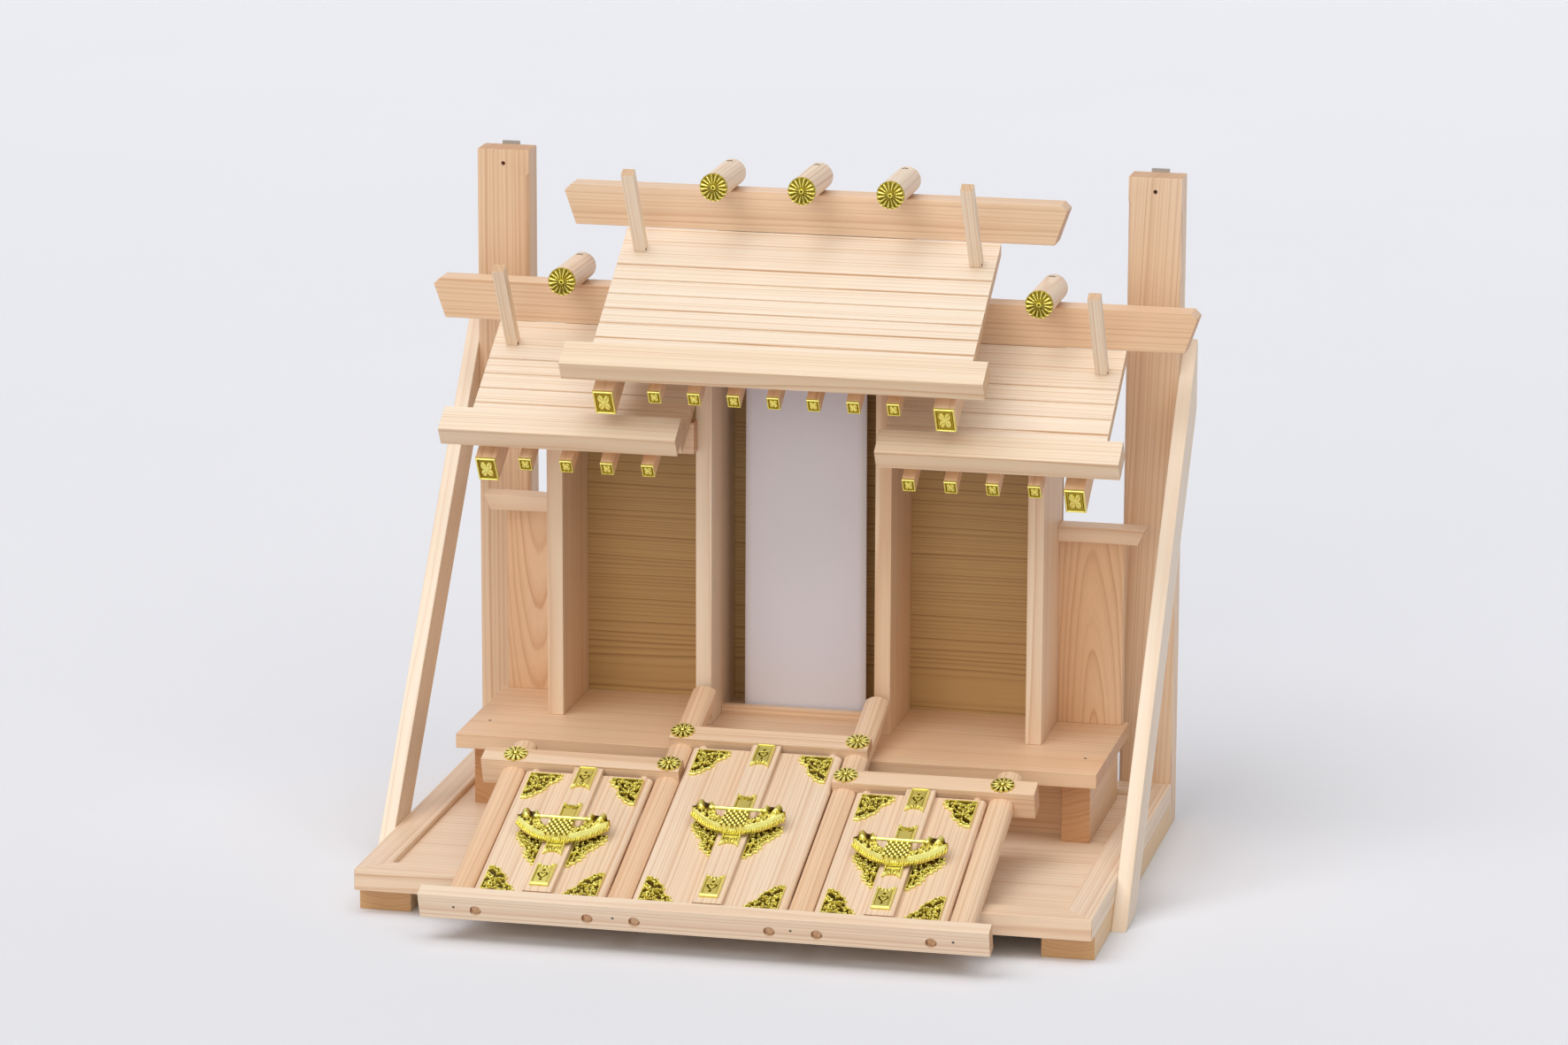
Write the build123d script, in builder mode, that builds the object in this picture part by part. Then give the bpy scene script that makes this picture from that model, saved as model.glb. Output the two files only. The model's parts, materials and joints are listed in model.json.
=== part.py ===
"""A household altar: a three-bay wooden shrine on a framed tray with two wall posts.

The door front is a separate unit that leans, face up, on the tray's front rail
and on the front edge of the shrine's floor.  Millimetres, +Z up, +Y to the back.
"""
from build123d import *
from math import atan2, cos, hypot, pi, radians, sin, tan
import os

os.makedirs("parts", exist_ok=True)

# Tray: a mitred frame round a panel that sits in a groove, on two battens
tray_width = 400.0
tray_depth = 260.0
tray_rail_width = 16.5
tray_rail_height = 12.0
tray_panel_recess = 3.3
tray_panel_thickness = 4.0
tray_groove_depth = 3.0
batten_width = 28.5
batten_height = 13.2
batten_setback = 10.0

# Wall posts behind the tray and the struts that brace them
post_width = 29.8
post_depth = 17.5
post_height = 370.0
post_nail_radius = 1.2
post_nail_drop = 8.0
strut_thickness = 8.2
strut_width = 24.6
strut_angle = 52.4
strut_foot_setback = 60.5
strut_top_setback = 3.0
hanger_width = 10.0
hanger_thickness = 1.5
hanger_height = 22.0
hanger_rise = 1.8
hanger_hole_radius = 2.0

# Shrine floor and what carries it
floor_width = 358.6
floor_depth = 107.5
floor_thickness = 8.1
floor_rear_gap = 22.9
floor_height = 65.9
leg_thickness = 15.8
leg_inset = 6.0
leg_setback = 17.0
cross_rail_thickness = 9.0
cross_rail_setback = 29.4

# Walls
wall_thickness = 9.0
wall_depth = 57.0
outer_wall_x = 139.9
inner_wall_x = 55.0
back_panel_thickness = 4.0
sill_height = 5.0
sill_thickness = 5.0
sill_from_back = 28.0
lintel_height = 17.5
lintel_gap = 3.0
lintel_depth = 8.6
lintel_lap = 1.0

# Side screens
screen_width = 36.3
screen_height = 104.7
screen_thickness = 7.0
screen_rail_overhang = 12.3
screen_rail_height = 8.9
screen_rail_depth = 12.7
screen_rail_undercut = 4.0

# Roofs
roof_angle = 31.75
roof_thickness = 6.0
roof_ridge_gap = 8.0
centre_ridge_height = 335.6
side_ridge_height = 280.4
side_ridge_step = 7.0
centre_roof_half = 105.3
side_roof_overhang = 37.0
groove_pitch = 11.7
groove_width = 1.2
groove_depth = 1.0
centre_groove_count = 6
side_groove_count = 4
first_groove = 30.6
eave_width = 18.0
eave_thickness = 11.7
eave_below_groove = 16.0
eave_overhang = 11.5
board_under_eave = 9.5

# Ridges, logs and roof finials
ridge_depth = 16.0
ridge_rise = 22.4
ridge_end_slant = 6.6
ridge_end_chamfer = 3.5
centre_ridge_overhang = 29.7
side_ridge_overhang = 32.0
log_radius = 7.6
log_length = 46.0
log_spacing = 49.4
side_log_inset = 43.4
finial_width = 7.0
finial_thickness = 6.0
finial_length = 56.0
finial_foot = 17.0
finial_inset = 11.0

# Rafters with gilt end caps
rafter_width = 7.0
rafter_depth = 8.4
centre_rafter_projection = -0.7
side_rafter_projection = 1.2
end_rafter_width = 11.2
end_rafter_depth = 16.3
centre_end_rafter_projection = 1.3
side_end_rafter_projection = 2.6
centre_rafter_pitch = 22.0
centre_end_rafter_inset = 11.2
side_first_rafter = 17.4
side_rafter_pitch = 23.0
side_end_rafter_inset = 13.5
rafter_cap_thickness = 1.5
rafter_wall_gap = 1.0

# Gilt rosettes: a ring of petals round a raised heart
petal_count = 16
rosette_notch = 0.93
rosette_heart = 0.3
log_rosette_radius = 7.9
log_rosette_thickness = 1.4
head_rosette_radius = 6.3
head_rosette_thickness = 1.6

# Door front, in its own leaning frame: x across, u up the doors, n out of them
sill_rail_to_floor = 174.84
sill_rail_width = 9.0
sill_rail_front = 14.3
sill_rail_back = -0.5
rail_overhang = 11.8
door_post_width = 13.0
door_post_crest = 8.8
door_post_shoulder = 6.0
outer_post_over_head = 13.7
inner_post_over_head = 46.1
centre_bay_width = 84.8
side_bay_width = 73.0
side_opening = 124.2
centre_opening = 157.3
head_rail_width = 12.6
head_rail_front = 12.5
side_head_back = -2.9

# Door leaves: each turns on two round pins near its outer edge
leaf_back = 3.0
leaf_thickness = 5.4
leaf_side_gap = 0.9
leaf_end_gap = 2.6
leaf_meeting_gap = 1.0
leaf_heel_round = 2.5
pin_inset = 6.2
pin_radius = 2.5
pin_clearance = 0.1
head_pin_length = 7.0
strip_width = 15.8
strip_thickness = 3.3
strip_foot_gap = 4.5
strip_head_gap = 0.6

# Gilt fittings of the doors, whose scalloped edges are many-sided lobes
plate_thickness = 1.5
lobe_sides = 10
corner_plate_width = 18.5
corner_plate_height = 24.5
corner_plate_inset = 3.9
corner_plate_head_inset = 3.0
corner_plate_foot_inset = 1.5
wing_width = 16.5
wing_height = 31.0
wing_gap = 0.6
tab_width = 10.2
tab_length = 20.3
tab_thickness = 2.2
tab_notch = 4.4
tab_foot_gap = 5.0
tab_head_gap = 1.8
lock_plate_length = 49.5
centre_lock_rise = 1.6
side_lock_rise = -0.9
lock_width = 52.0
lock_belly = 16.0
lock_horn = 10.0
lock_band = 11.0
lock_thickness = 6.5
lock_bar_radius = 1.2
lock_bar_rise = 4.0

# The paper talisman in the middle bay
talisman_width = 69.0
talisman_height = 245.0
talisman_thickness = 6.0

# Heights and depths that follow from the sizes above
tray_bottom = batten_height
tray_top = tray_bottom + tray_rail_height
panel_top = tray_top - tray_panel_recess
floor_bottom = floor_height - floor_thickness
floor_back = tray_depth - floor_rear_gap
floor_setback = floor_back - floor_depth
wall_front = floor_back - wall_depth
post_back = tray_depth + post_depth
sin_a = sin(radians(roof_angle))
cos_a = cos(radians(roof_angle))

# The door front leans on the tray's front edge and on the floor's front edge
lean = atan2(floor_height - tray_top, floor_setback)
sill_rail_drop = sill_rail_to_floor - hypot(floor_height - tray_top, floor_setback)
front_reach = sill_rail_drop * cos(lean) + sill_rail_front * sin(lean)

# The frame's origin is under the middle of the whole altar
y0 = (front_reach - post_back - hanger_thickness) / 2


def save(piece, label):
    """Name a finished piece and write it."""
    piece.label = label
    export_step(piece, f"parts/{label}.step")


def block(x_range, y_range, z_range):
    """A rectangular block between two corners, cut from the tray's own frame."""
    (x1, x2), (y1, y2), (z1, z2) = x_range, y_range, z_range
    with BuildPart() as piece:
        with BuildSketch(Plane.XY.offset(z1)):
            with Locations(((x1 + x2) / 2, y0 + (y1 + y2) / 2)):
                Rectangle(x2 - x1, y2 - y1)
        extrude(amount=z2 - z1)
    return piece.part


def side_profile(points, x1, x2):
    """A profile drawn in depth and height, carried across from x1 to x2."""
    with BuildPart() as piece:
        with BuildSketch(Plane.YZ.offset(x1)):
            with BuildLine():
                Polyline([(y0 + y, z) for y, z in points], close=True)
            make_face()
        extrude(amount=x2 - x1)
    return piece.part


def both_sides(piece):
    """The piece and its mirror image across the middle of the altar."""
    return Compound([piece, piece.mirror(Plane.YZ)])


def build_tray():
    """Four mitred rails round a panel in their groove, on two battens."""
    half = tray_width / 2
    w = tray_rail_width
    d = tray_depth
    x_in, front_in, back_in = half - w, w, d - w
    reach = tray_groove_depth
    with BuildPart() as panel:
        with BuildSketch(Plane.XY.offset(panel_top - tray_panel_thickness)):
            with Locations((0, y0 + d / 2)):
                Rectangle(2 * (x_in + reach), back_in - front_in + 2 * reach)
        extrude(amount=tray_panel_thickness)
    save(panel.part, "tray_panel")

    corners = {
        "front": [(-half, 0), (half, 0), (x_in, front_in), (-x_in, front_in)],
        "back": [(-x_in, back_in), (x_in, back_in), (half, d), (-half, d)],
        "side": [(half, 0), (half, d), (x_in, back_in), (x_in, front_in)],
    }
    rails = {}
    for name, outline in corners.items():
        with BuildPart() as rail:
            with BuildSketch(Plane.XY.offset(tray_bottom)):
                with BuildLine():
                    Polyline([(x, y0 + y) for x, y in outline], close=True)
                make_face()
            extrude(amount=tray_rail_height)
            add(panel.part, mode=Mode.SUBTRACT)
        rails[name] = rail.part
    save(Compound([rails["front"], rails["back"]]), "tray_long_rails")
    save(both_sides(rails["side"]), "tray_short_rails")
    batten = block((half - batten_width, half), (batten_setback, d), (0, batten_height))
    save(both_sides(batten), "tray_battens")


def build_wall_posts():
    """Two posts with a nail hole and a hanger plate each, and their struts."""
    half = tray_width / 2
    post_x = half - post_width / 2
    nail_z = post_height - post_nail_drop
    with BuildPart() as post:
        with BuildSketch(Plane.XY):
            with Locations((post_x, y0 + tray_depth + post_depth / 2)):
                Rectangle(post_width, post_depth)
        extrude(amount=post_height)
        with Locations(Plane.XZ.offset(-y0 - tray_depth)):
            with Locations((post_x, nail_z)):
                Hole(post_nail_radius)
        mirror(about=Plane.YZ)
    save(post.part, "wall_posts")

    with BuildPart() as hanger:
        with BuildSketch(Plane.XZ.offset(-y0 - post_back)):
            with Locations((post_x, post_height + hanger_rise - hanger_height / 2)):
                Rectangle(hanger_width, hanger_height)
            with Locations((post_x, nail_z)):
                Circle(hanger_hole_radius, mode=Mode.SUBTRACT)
        extrude(amount=-hanger_thickness)
        mirror(about=Plane.YZ)
    save(hanger.part, "wall_hangers")

    rise = tan(radians(strut_angle))
    foot_back = strut_foot_setback + strut_width / sin(radians(strut_angle))
    top_y = post_back - strut_top_setback
    outline = [
        (strut_foot_setback, 0),
        (top_y, (top_y - strut_foot_setback) * rise),
        (top_y, (top_y - foot_back) * rise),
        (foot_back, 0),
    ]
    strut = side_profile(outline, half, half + strut_thickness)
    save(both_sides(strut), "side_struts")


def build_shrine_base():
    """The floor board, the two legs under it and the board between them."""
    half = floor_width / 2
    save(block((-half, half), (floor_setback, floor_back), (floor_bottom, floor_height)),
         "floor_board")
    leg_x = half - leg_inset
    inner = leg_x - leg_thickness
    leg = block((inner, leg_x), (floor_setback + leg_setback, floor_back),
                (panel_top, floor_bottom))
    save(both_sides(leg), "floor_legs")
    rail_front = floor_setback + cross_rail_setback
    save(block((-inner, inner), (rail_front, rail_front + cross_rail_thickness),
               (panel_top, floor_bottom)), "floor_cross_rail")


class Roof:
    """A roof that slopes forward from the foot of its ridge board."""

    def __init__(self, ridge_y, ridge_z, grooves, x_range, eave_x, rafter_stop):
        self.ridge_y = ridge_y
        self.ridge_z = ridge_z
        self.grooves = grooves
        self.x_range = x_range
        self.eave_x = eave_x
        self.rafter_stop = rafter_stop
        self.last_groove = first_groove + groove_pitch * (grooves - 1)
        self.eave_back = self.last_groove + eave_below_groove
        self.eave_front = self.eave_back + eave_width
        self.board_end = self.eave_back + board_under_eave
        self.plane = Plane(origin=(0, y0 + ridge_y, ridge_z), x_dir=(1, 0, 0),
                           z_dir=(0, -sin_a, cos_a))

    def point(self, down, above):
        """Depth and height of a point so far down the slope and above it."""
        y = self.ridge_y - down * cos_a - above * sin_a
        z = self.ridge_z - down * sin_a + above * cos_a
        return (y, z)

    def underside(self, y):
        """Height of the roof board's lower face at a depth."""
        return self.ridge_z - (self.ridge_y - y) * sin_a / cos_a - roof_thickness / cos_a


def sloped_block(roof, x_range, down_range, n_range):
    """A block that lies square to a roof's slope."""
    (x1, x2), (s1, s2), (n1, n2) = x_range, down_range, n_range
    with BuildPart() as piece:
        with BuildSketch(roof.plane.offset(n1)):
            with Locations(((x1 + x2) / 2, -(s1 + s2) / 2)):
                Rectangle(x2 - x1, s2 - s1)
        extrude(amount=n2 - n1)
    return piece.part


def roof_board(roof):
    """The sloping board with its saw-cut grooves."""
    top = (roof.ridge_y, roof.ridge_z)
    outline = [top, roof.point(roof.board_end, 0), roof.point(roof.board_end, -roof_thickness),
               (roof.ridge_y, roof.ridge_z - roof_thickness / cos_a)]
    x1, x2 = roof.x_range
    with BuildPart() as piece:
        with BuildSketch(Plane.YZ.offset(x1)):
            with BuildLine():
                Polyline([(y0 + y, z) for y, z in outline], close=True)
            make_face()
        extrude(amount=x2 - x1)
        with BuildSketch(roof.plane):
            for i in range(roof.grooves):
                with Locations(((x1 + x2) / 2, -(first_groove + groove_pitch * i))):
                    Rectangle(x2 - x1, groove_width)
        extrude(amount=-groove_depth, mode=Mode.SUBTRACT)
    return piece.part


def ridge_board(roof, x1, x2, ends):
    """A ridge board whose free ends lean outwards and are eased at the top."""
    low, high = roof.ridge_z, roof.ridge_z + ridge_rise
    ease = ridge_end_chamfer
    right = [(x2 + ridge_end_slant, high - ease), (x2 + ridge_end_slant - ease, high)]
    if "left" in ends:
        left = [(x1 - ridge_end_slant + ease, high), (x1 - ridge_end_slant, high - ease)]
    else:
        left = [(x1, high)]
    outline = [(x1, low), (x2, low)] + right + left
    with BuildPart() as piece:
        with BuildSketch(Plane.XZ.offset(-y0 - roof.ridge_y)):
            with BuildLine():
                Polyline(outline, close=True)
            make_face()
        extrude(amount=-ridge_depth)
    return piece.part


def ridge_log(roof, x):
    """A round log that lies front to back on the ridge."""
    back = y0 + roof.ridge_y + ridge_depth
    z = roof.ridge_z + ridge_rise + log_radius
    with BuildPart() as piece:
        with BuildSketch(Plane.XZ.offset(-back)):
            with Locations((x, z)):
                Circle(log_radius)
        extrude(amount=log_length)
    return piece.part


def rosette(plane, radius, thickness):
    """A gilt rosette: petals in a ring, with a smaller heart that stands proud."""
    outline = []
    for i in range(petal_count):
        tip, notch = 2 * pi * i / petal_count, 2 * pi * (i + 0.5) / petal_count
        outline.append((radius * cos(tip), radius * sin(tip)))
        outline.append((radius * rosette_notch * cos(notch), radius * rosette_notch * sin(notch)))
    with BuildPart() as piece:
        with BuildSketch(plane):
            Polygon(*outline, align=None)
        extrude(amount=thickness / 2)
        with BuildSketch(plane.offset(thickness / 2)):
            RegularPolygon(radius * rosette_heart, petal_count)
        extrude(amount=thickness / 2)
    return piece.part


def log_rosette(roof, x):
    """The rosette on the front end of a log."""
    front = y0 + roof.ridge_y + ridge_depth - log_length
    z = roof.ridge_z + ridge_rise + log_radius
    plane = Plane(origin=(x, front, z), x_dir=(1, 0, 0), z_dir=(0, -1, 0))
    return rosette(plane, log_rosette_radius, log_rosette_thickness)


def roof_finial(roof, x):
    """A square stick that stands square to the slope, in front of the ridge."""
    half = finial_thickness / 2
    x_range = (x - finial_width / 2, x + finial_width / 2)
    return sloped_block(roof, x_range, (finial_foot - half, finial_foot + half),
                        (0, finial_length))


def rafter(roof, x, width, depth, projection):
    """A rafter end under the roof board, cut square to the slope."""
    end = roof.eave_front + projection
    low = roof_thickness + depth
    start = (roof.ridge_y - roof.rafter_stop + rafter_wall_gap + low * sin_a) / cos_a
    return sloped_block(roof, (x - width / 2, x + width / 2), (start, end),
                        (-roof_thickness - depth, -roof_thickness))


def rafter_cap(roof, x, width, depth, projection):
    """The gilt plate on a rafter's end."""
    end = roof.eave_front + projection
    return sloped_block(roof, (x - width / 2, x + width / 2), (end, end + rafter_cap_thickness),
                        (-roof_thickness - depth, -roof_thickness))


def side_wall(roof, x1, x2):
    """A wall board whose top follows the roof above it."""
    ridge_seat = (roof.ridge_y, roof.ridge_z)
    outline = [(wall_front, floor_height), (floor_back, floor_height),
               (floor_back, roof.ridge_z), ridge_seat,
               (roof.ridge_y, roof.underside(roof.ridge_y)),
               (wall_front, roof.underside(wall_front))]
    return side_profile(outline, x1, x2)


side_roof_reach = outer_wall_x + side_roof_overhang
centre_roof = Roof(floor_back - roof_ridge_gap, centre_ridge_height, centre_groove_count,
                   (-centre_roof_half, centre_roof_half),
                   (-centre_roof_half - eave_overhang, centre_roof_half + eave_overhang),
                   wall_front)
side_roof = Roof(floor_back - roof_ridge_gap - side_ridge_step, side_ridge_height,
                 side_groove_count, (inner_wall_x, side_roof_reach),
                 (inner_wall_x, side_roof_reach + eave_overhang), wall_front - lintel_depth)


def build_walls():
    """The walls, the back panel, the sill, the side bays' lintels and the side screens."""
    outer = side_wall(side_roof, outer_wall_x - wall_thickness, outer_wall_x)
    save(both_sides(outer), "outer_walls")
    inner = side_wall(centre_roof, inner_wall_x - wall_thickness, inner_wall_x)
    save(both_sides(inner), "inner_walls")

    low = floor_bottom
    shoulder, top = side_roof.ridge_z, centre_roof.ridge_z
    outline = [(-outer_wall_x, low), (outer_wall_x, low), (outer_wall_x, shoulder),
               (inner_wall_x, shoulder), (inner_wall_x, top), (-inner_wall_x, top),
               (-inner_wall_x, shoulder), (-outer_wall_x, shoulder)]
    with BuildPart() as back:
        with BuildSketch(Plane.XZ.offset(-y0 - floor_back)):
            with BuildLine():
                Polyline(outline, close=True)
            make_face()
        extrude(amount=-back_panel_thickness)
    save(back.part, "back_panel")

    sill_y = floor_back - sill_from_back
    inside = inner_wall_x - wall_thickness
    save(block((-inside, inside), (sill_y - sill_thickness, sill_y),
               (floor_height, floor_height + sill_height)), "talisman_sill")

    lintel_front = wall_front - lintel_depth
    lintel_top = side_roof.underside(lintel_front) - lintel_gap
    lintel = block((inner_wall_x - lintel_lap, outer_wall_x), (lintel_front, wall_front),
                   (lintel_top - lintel_height, lintel_top))
    save(both_sides(lintel), "side_lintels")

    screen_reach = outer_wall_x + screen_width
    screen = block((outer_wall_x, screen_reach), (floor_back - screen_thickness, floor_back),
                   (floor_height, floor_height + screen_height))
    save(both_sides(screen), "screen_panels")
    low = floor_height + screen_height
    high = low + screen_rail_height
    reach = screen_reach + screen_rail_overhang
    with BuildPart() as rail:
        with BuildSketch(Plane.XZ.offset(-y0 - floor_back)):
            with BuildLine():
                Polyline([(outer_wall_x, low), (reach - screen_rail_undercut, low),
                          (reach, high), (outer_wall_x, high)], close=True)
            make_face()
        extrude(amount=screen_rail_depth)
    save(both_sides(rail.part), "screen_rails")


def build_roofs():
    """The high roof over the middle bay and the two lower ones beside it."""
    save(roof_board(centre_roof), "centre_roof_board")
    save(both_sides(roof_board(side_roof)), "side_roof_boards")
    eaves = [sloped_block(roof, roof.eave_x, (roof.eave_back, roof.eave_front), (0, eave_thickness))
             for roof in (centre_roof, side_roof)]
    save(Compound([*eaves, eaves[1].mirror(Plane.YZ)]), "eave_boards")
    centre_reach = centre_roof_half + centre_ridge_overhang
    centre = ridge_board(centre_roof, -centre_reach, centre_reach, ("left", "right"))
    side = ridge_board(side_roof, inner_wall_x, side_roof_reach + side_ridge_overhang, ("right",))
    save(Compound([centre, side, side.mirror(Plane.YZ)]), "ridge_boards")

    side_log_x = side_roof_reach - side_log_inset
    log_places = [(centre_roof, x * log_spacing) for x in (-1, 0, 1)]
    log_places += [(side_roof, side_log_x), (side_roof, -side_log_x)]
    save(Compound([ridge_log(roof, x) for roof, x in log_places]), "ridge_logs")
    log_rosettes = [log_rosette(roof, x) for roof, x in log_places]
    save(Compound(log_rosettes + head_rosettes()), "gilt_rosettes")

    centre_small = (rafter_width, rafter_depth, centre_rafter_projection)
    side_small = (rafter_width, rafter_depth, side_rafter_projection)
    centre_end = (end_rafter_width, end_rafter_depth, centre_end_rafter_projection)
    side_end = (end_rafter_width, end_rafter_depth, side_end_rafter_projection)
    finials = []
    places = [(centre_roof, centre_rafter_pitch * i, *centre_small) for i in range(-3, 4)]
    for side in (-1, 1):
        finials.append((centre_roof, side * (centre_roof_half - finial_inset)))
        finials.append((side_roof, side * (side_roof_reach - finial_inset)))
        end_x = side * (centre_roof_half - centre_end_rafter_inset)
        places.append((centre_roof, end_x, *centre_end))
        end_x = side * (side_roof_reach - side_end_rafter_inset)
        places.append((side_roof, end_x, *side_end))
        for i in range(4):
            x = side * (inner_wall_x + side_first_rafter + side_rafter_pitch * i)
            places.append((side_roof, x, *side_small))
    save(Compound([roof_finial(roof, x) for roof, x in finials]), "roof_finials")
    save(Compound([rafter(*place) for place in places]), "rafters")
    save(Compound([rafter_cap(*place) for place in places]), "rafter_caps")


door_plane = Plane(origin=(0, y0, tray_top), x_dir=(1, 0, 0), z_dir=(0, -sin(lean), cos(lean)))

# Places along and across the door front
rail_foot = -sill_rail_drop
rail_top = rail_foot + sill_rail_width
side_head_foot = rail_top + side_opening
centre_head_foot = rail_top + centre_opening
post_half = door_post_width / 2
inner_door_post_x = centre_bay_width / 2 + post_half
outer_door_post_x = inner_door_post_x + post_half + side_bay_width + post_half
rail_half = outer_door_post_x + post_half + rail_overhang
leaf_front = leaf_back + leaf_thickness
strip_front = leaf_front + strip_thickness
pin_n = leaf_back + leaf_thickness / 2


class Bay:
    """One bay of the door front, between two door posts."""

    def __init__(self, name, x1, x2, head_foot, lock_rise):
        self.name = name
        self.x1 = x1
        self.x2 = x2
        self.middle = (x1 + x2) / 2
        self.leaf_foot = rail_top + leaf_end_gap
        self.leaf_top = head_foot - leaf_end_gap
        self.strip_foot = rail_top + strip_foot_gap
        self.strip_top = head_foot - strip_head_gap
        self.lock_u = (self.strip_foot + self.strip_top) / 2 + lock_rise
        self.pins = (x1 + pin_inset, x2 - pin_inset)


side_bay_edges = (inner_door_post_x + post_half, outer_door_post_x - post_half)
BAYS = [
    Bay("left_bay", -side_bay_edges[1], -side_bay_edges[0], side_head_foot, side_lock_rise),
    Bay("centre_bay", -centre_bay_width / 2, centre_bay_width / 2, centre_head_foot,
        centre_lock_rise),
    Bay("right_bay", side_bay_edges[0], side_bay_edges[1], side_head_foot, side_lock_rise),
]


def door_block(x_range, u_range, n_range):
    """A block in the leaning frame of the door front."""
    (x1, x2), (u1, u2), (n1, n2) = x_range, u_range, n_range
    with BuildPart() as piece:
        with BuildSketch(door_plane.offset(n1)):
            with Locations(((x1 + x2) / 2, (u1 + u2) / 2)):
                Rectangle(x2 - x1, u2 - u1)
        extrude(amount=n2 - n1)
    return piece.part


def cross_section(u):
    """The plane across the doors at height u: x across, and its y against n."""
    return Plane(origin=door_plane.from_local_coords((0, u, 0)), x_dir=(1, 0, 0),
                 z_dir=door_plane.y_dir)


def door_post(x, u_top):
    """A door post with a rounded front, from the sill rail up."""
    half = post_half
    with BuildPart() as piece:
        with BuildSketch(cross_section(rail_top)):
            with BuildLine():
                Polyline((x + half, -door_post_shoulder), (x + half, 0), (x - half, 0),
                         (x - half, -door_post_shoulder))
                ThreePointArc((x - half, -door_post_shoulder), (x, -door_post_crest),
                              (x + half, -door_post_shoulder))
            make_face()
        extrude(amount=u_top - rail_top)
    return piece.part


def pin_bores():
    """Every bore for a door pin, from the sill rail's foot to above the heads."""
    bores = []
    for bay in BAYS:
        for x in bay.pins:
            for u, length in ((rail_foot, sill_rail_width), (bay.leaf_top, head_pin_length)):
                with BuildPart() as bore:
                    with BuildSketch(cross_section(u)):
                        with Locations((x, -pin_n)):
                            Circle(pin_radius + pin_clearance)
                    extrude(amount=length + pin_clearance)
                bores.append(bore.part)
    return bores


def door_leaf(bay, side):
    """A door leaf with a rounded heel and a round pin at its foot and its head."""
    if side == "left":
        x1, x2, pin_x = bay.x1 + leaf_side_gap, bay.middle - leaf_meeting_gap / 2, bay.pins[0]
    else:
        x1, x2, pin_x = bay.middle + leaf_meeting_gap / 2, bay.x2 - leaf_side_gap, bay.pins[1]
    with BuildPart() as leaf:
        with BuildSketch(cross_section(bay.leaf_foot)) as section:
            with Locations(((x1 + x2) / 2, -pin_n)):
                Rectangle(x2 - x1, leaf_thickness)
            heel = section.vertices().group_by(Axis.X)[0 if side == "left" else -1]
            fillet(heel, leaf_heel_round)
        extrude(amount=bay.leaf_top - bay.leaf_foot)
        with BuildSketch(cross_section(rail_foot)):
            with Locations((pin_x, -pin_n)):
                Circle(pin_radius)
        extrude(amount=bay.leaf_top - rail_foot + head_pin_length - pin_clearance)
    return leaf.part


def corner_plate(x, u, across, up):
    """A scalloped corner plate: its corner at x, u, its tips across and up."""
    w, h = across * corner_plate_width, up * corner_plate_height
    lobe = corner_plate_width / 4
    with BuildPart() as plate:
        with BuildSketch(door_plane.offset(leaf_front)):
            Polygon((x, u), (x + 0.8 * w, u), (x + 0.45 * w, u + 0.45 * h), (x, u + 0.8 * h),
                    align=None)
            with Locations((x + w - across * lobe, u + up * lobe),
                           (x + 0.4 * w, u + 0.32 * h),
                           (x + across * lobe, u + h - up * lobe)):
                RegularPolygon(lobe, lobe_sides)
        extrude(amount=plate_thickness)
    return plate.part


def wing_plate(bay, side):
    """A scalloped plate beside the cover strip, under the lock."""
    way = -1 if side == "left" else 1
    x = bay.middle + way * (strip_width / 2 + wing_gap)
    w = way * wing_width
    h = wing_height
    with BuildPart() as plate:
        with BuildSketch(door_plane.offset(leaf_front)):
            Polygon((x, bay.lock_u), (x + 0.7 * w, bay.lock_u), (x + 0.35 * w, bay.lock_u - 0.6 * h),
                    (x, bay.lock_u - h), align=None)
            with Locations((x + 0.65 * w, bay.lock_u - 0.12 * h)):
                RegularPolygon(0.35 * wing_width, lobe_sides)
            with Locations((x + 0.45 * w, bay.lock_u - 0.42 * h)):
                RegularPolygon(0.28 * wing_width, lobe_sides)
            with Locations((x + 0.27 * w, bay.lock_u - 0.78 * h)):
                RegularPolygon(0.24 * wing_width, lobe_sides)
        extrude(amount=plate_thickness)
    return plate.part


def strip_plate(x, u1, u2, notched):
    """A raised plate on the cover strip, notched at the ends that are named."""
    radius = (tab_width ** 2 / 4 + tab_notch ** 2) / (2 * tab_notch)
    with BuildPart() as plate:
        with BuildSketch(door_plane.offset(strip_front)):
            with Locations((x, (u1 + u2) / 2)):
                Rectangle(tab_width, u2 - u1)
            if "foot" in notched:
                with Locations((x, u1 + tab_notch - radius)):
                    Circle(radius, mode=Mode.SUBTRACT)
            if "head" in notched:
                with Locations((x, u2 - tab_notch + radius)):
                    Circle(radius, mode=Mode.SUBTRACT)
        extrude(amount=tab_thickness)
    return plate.part


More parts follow.
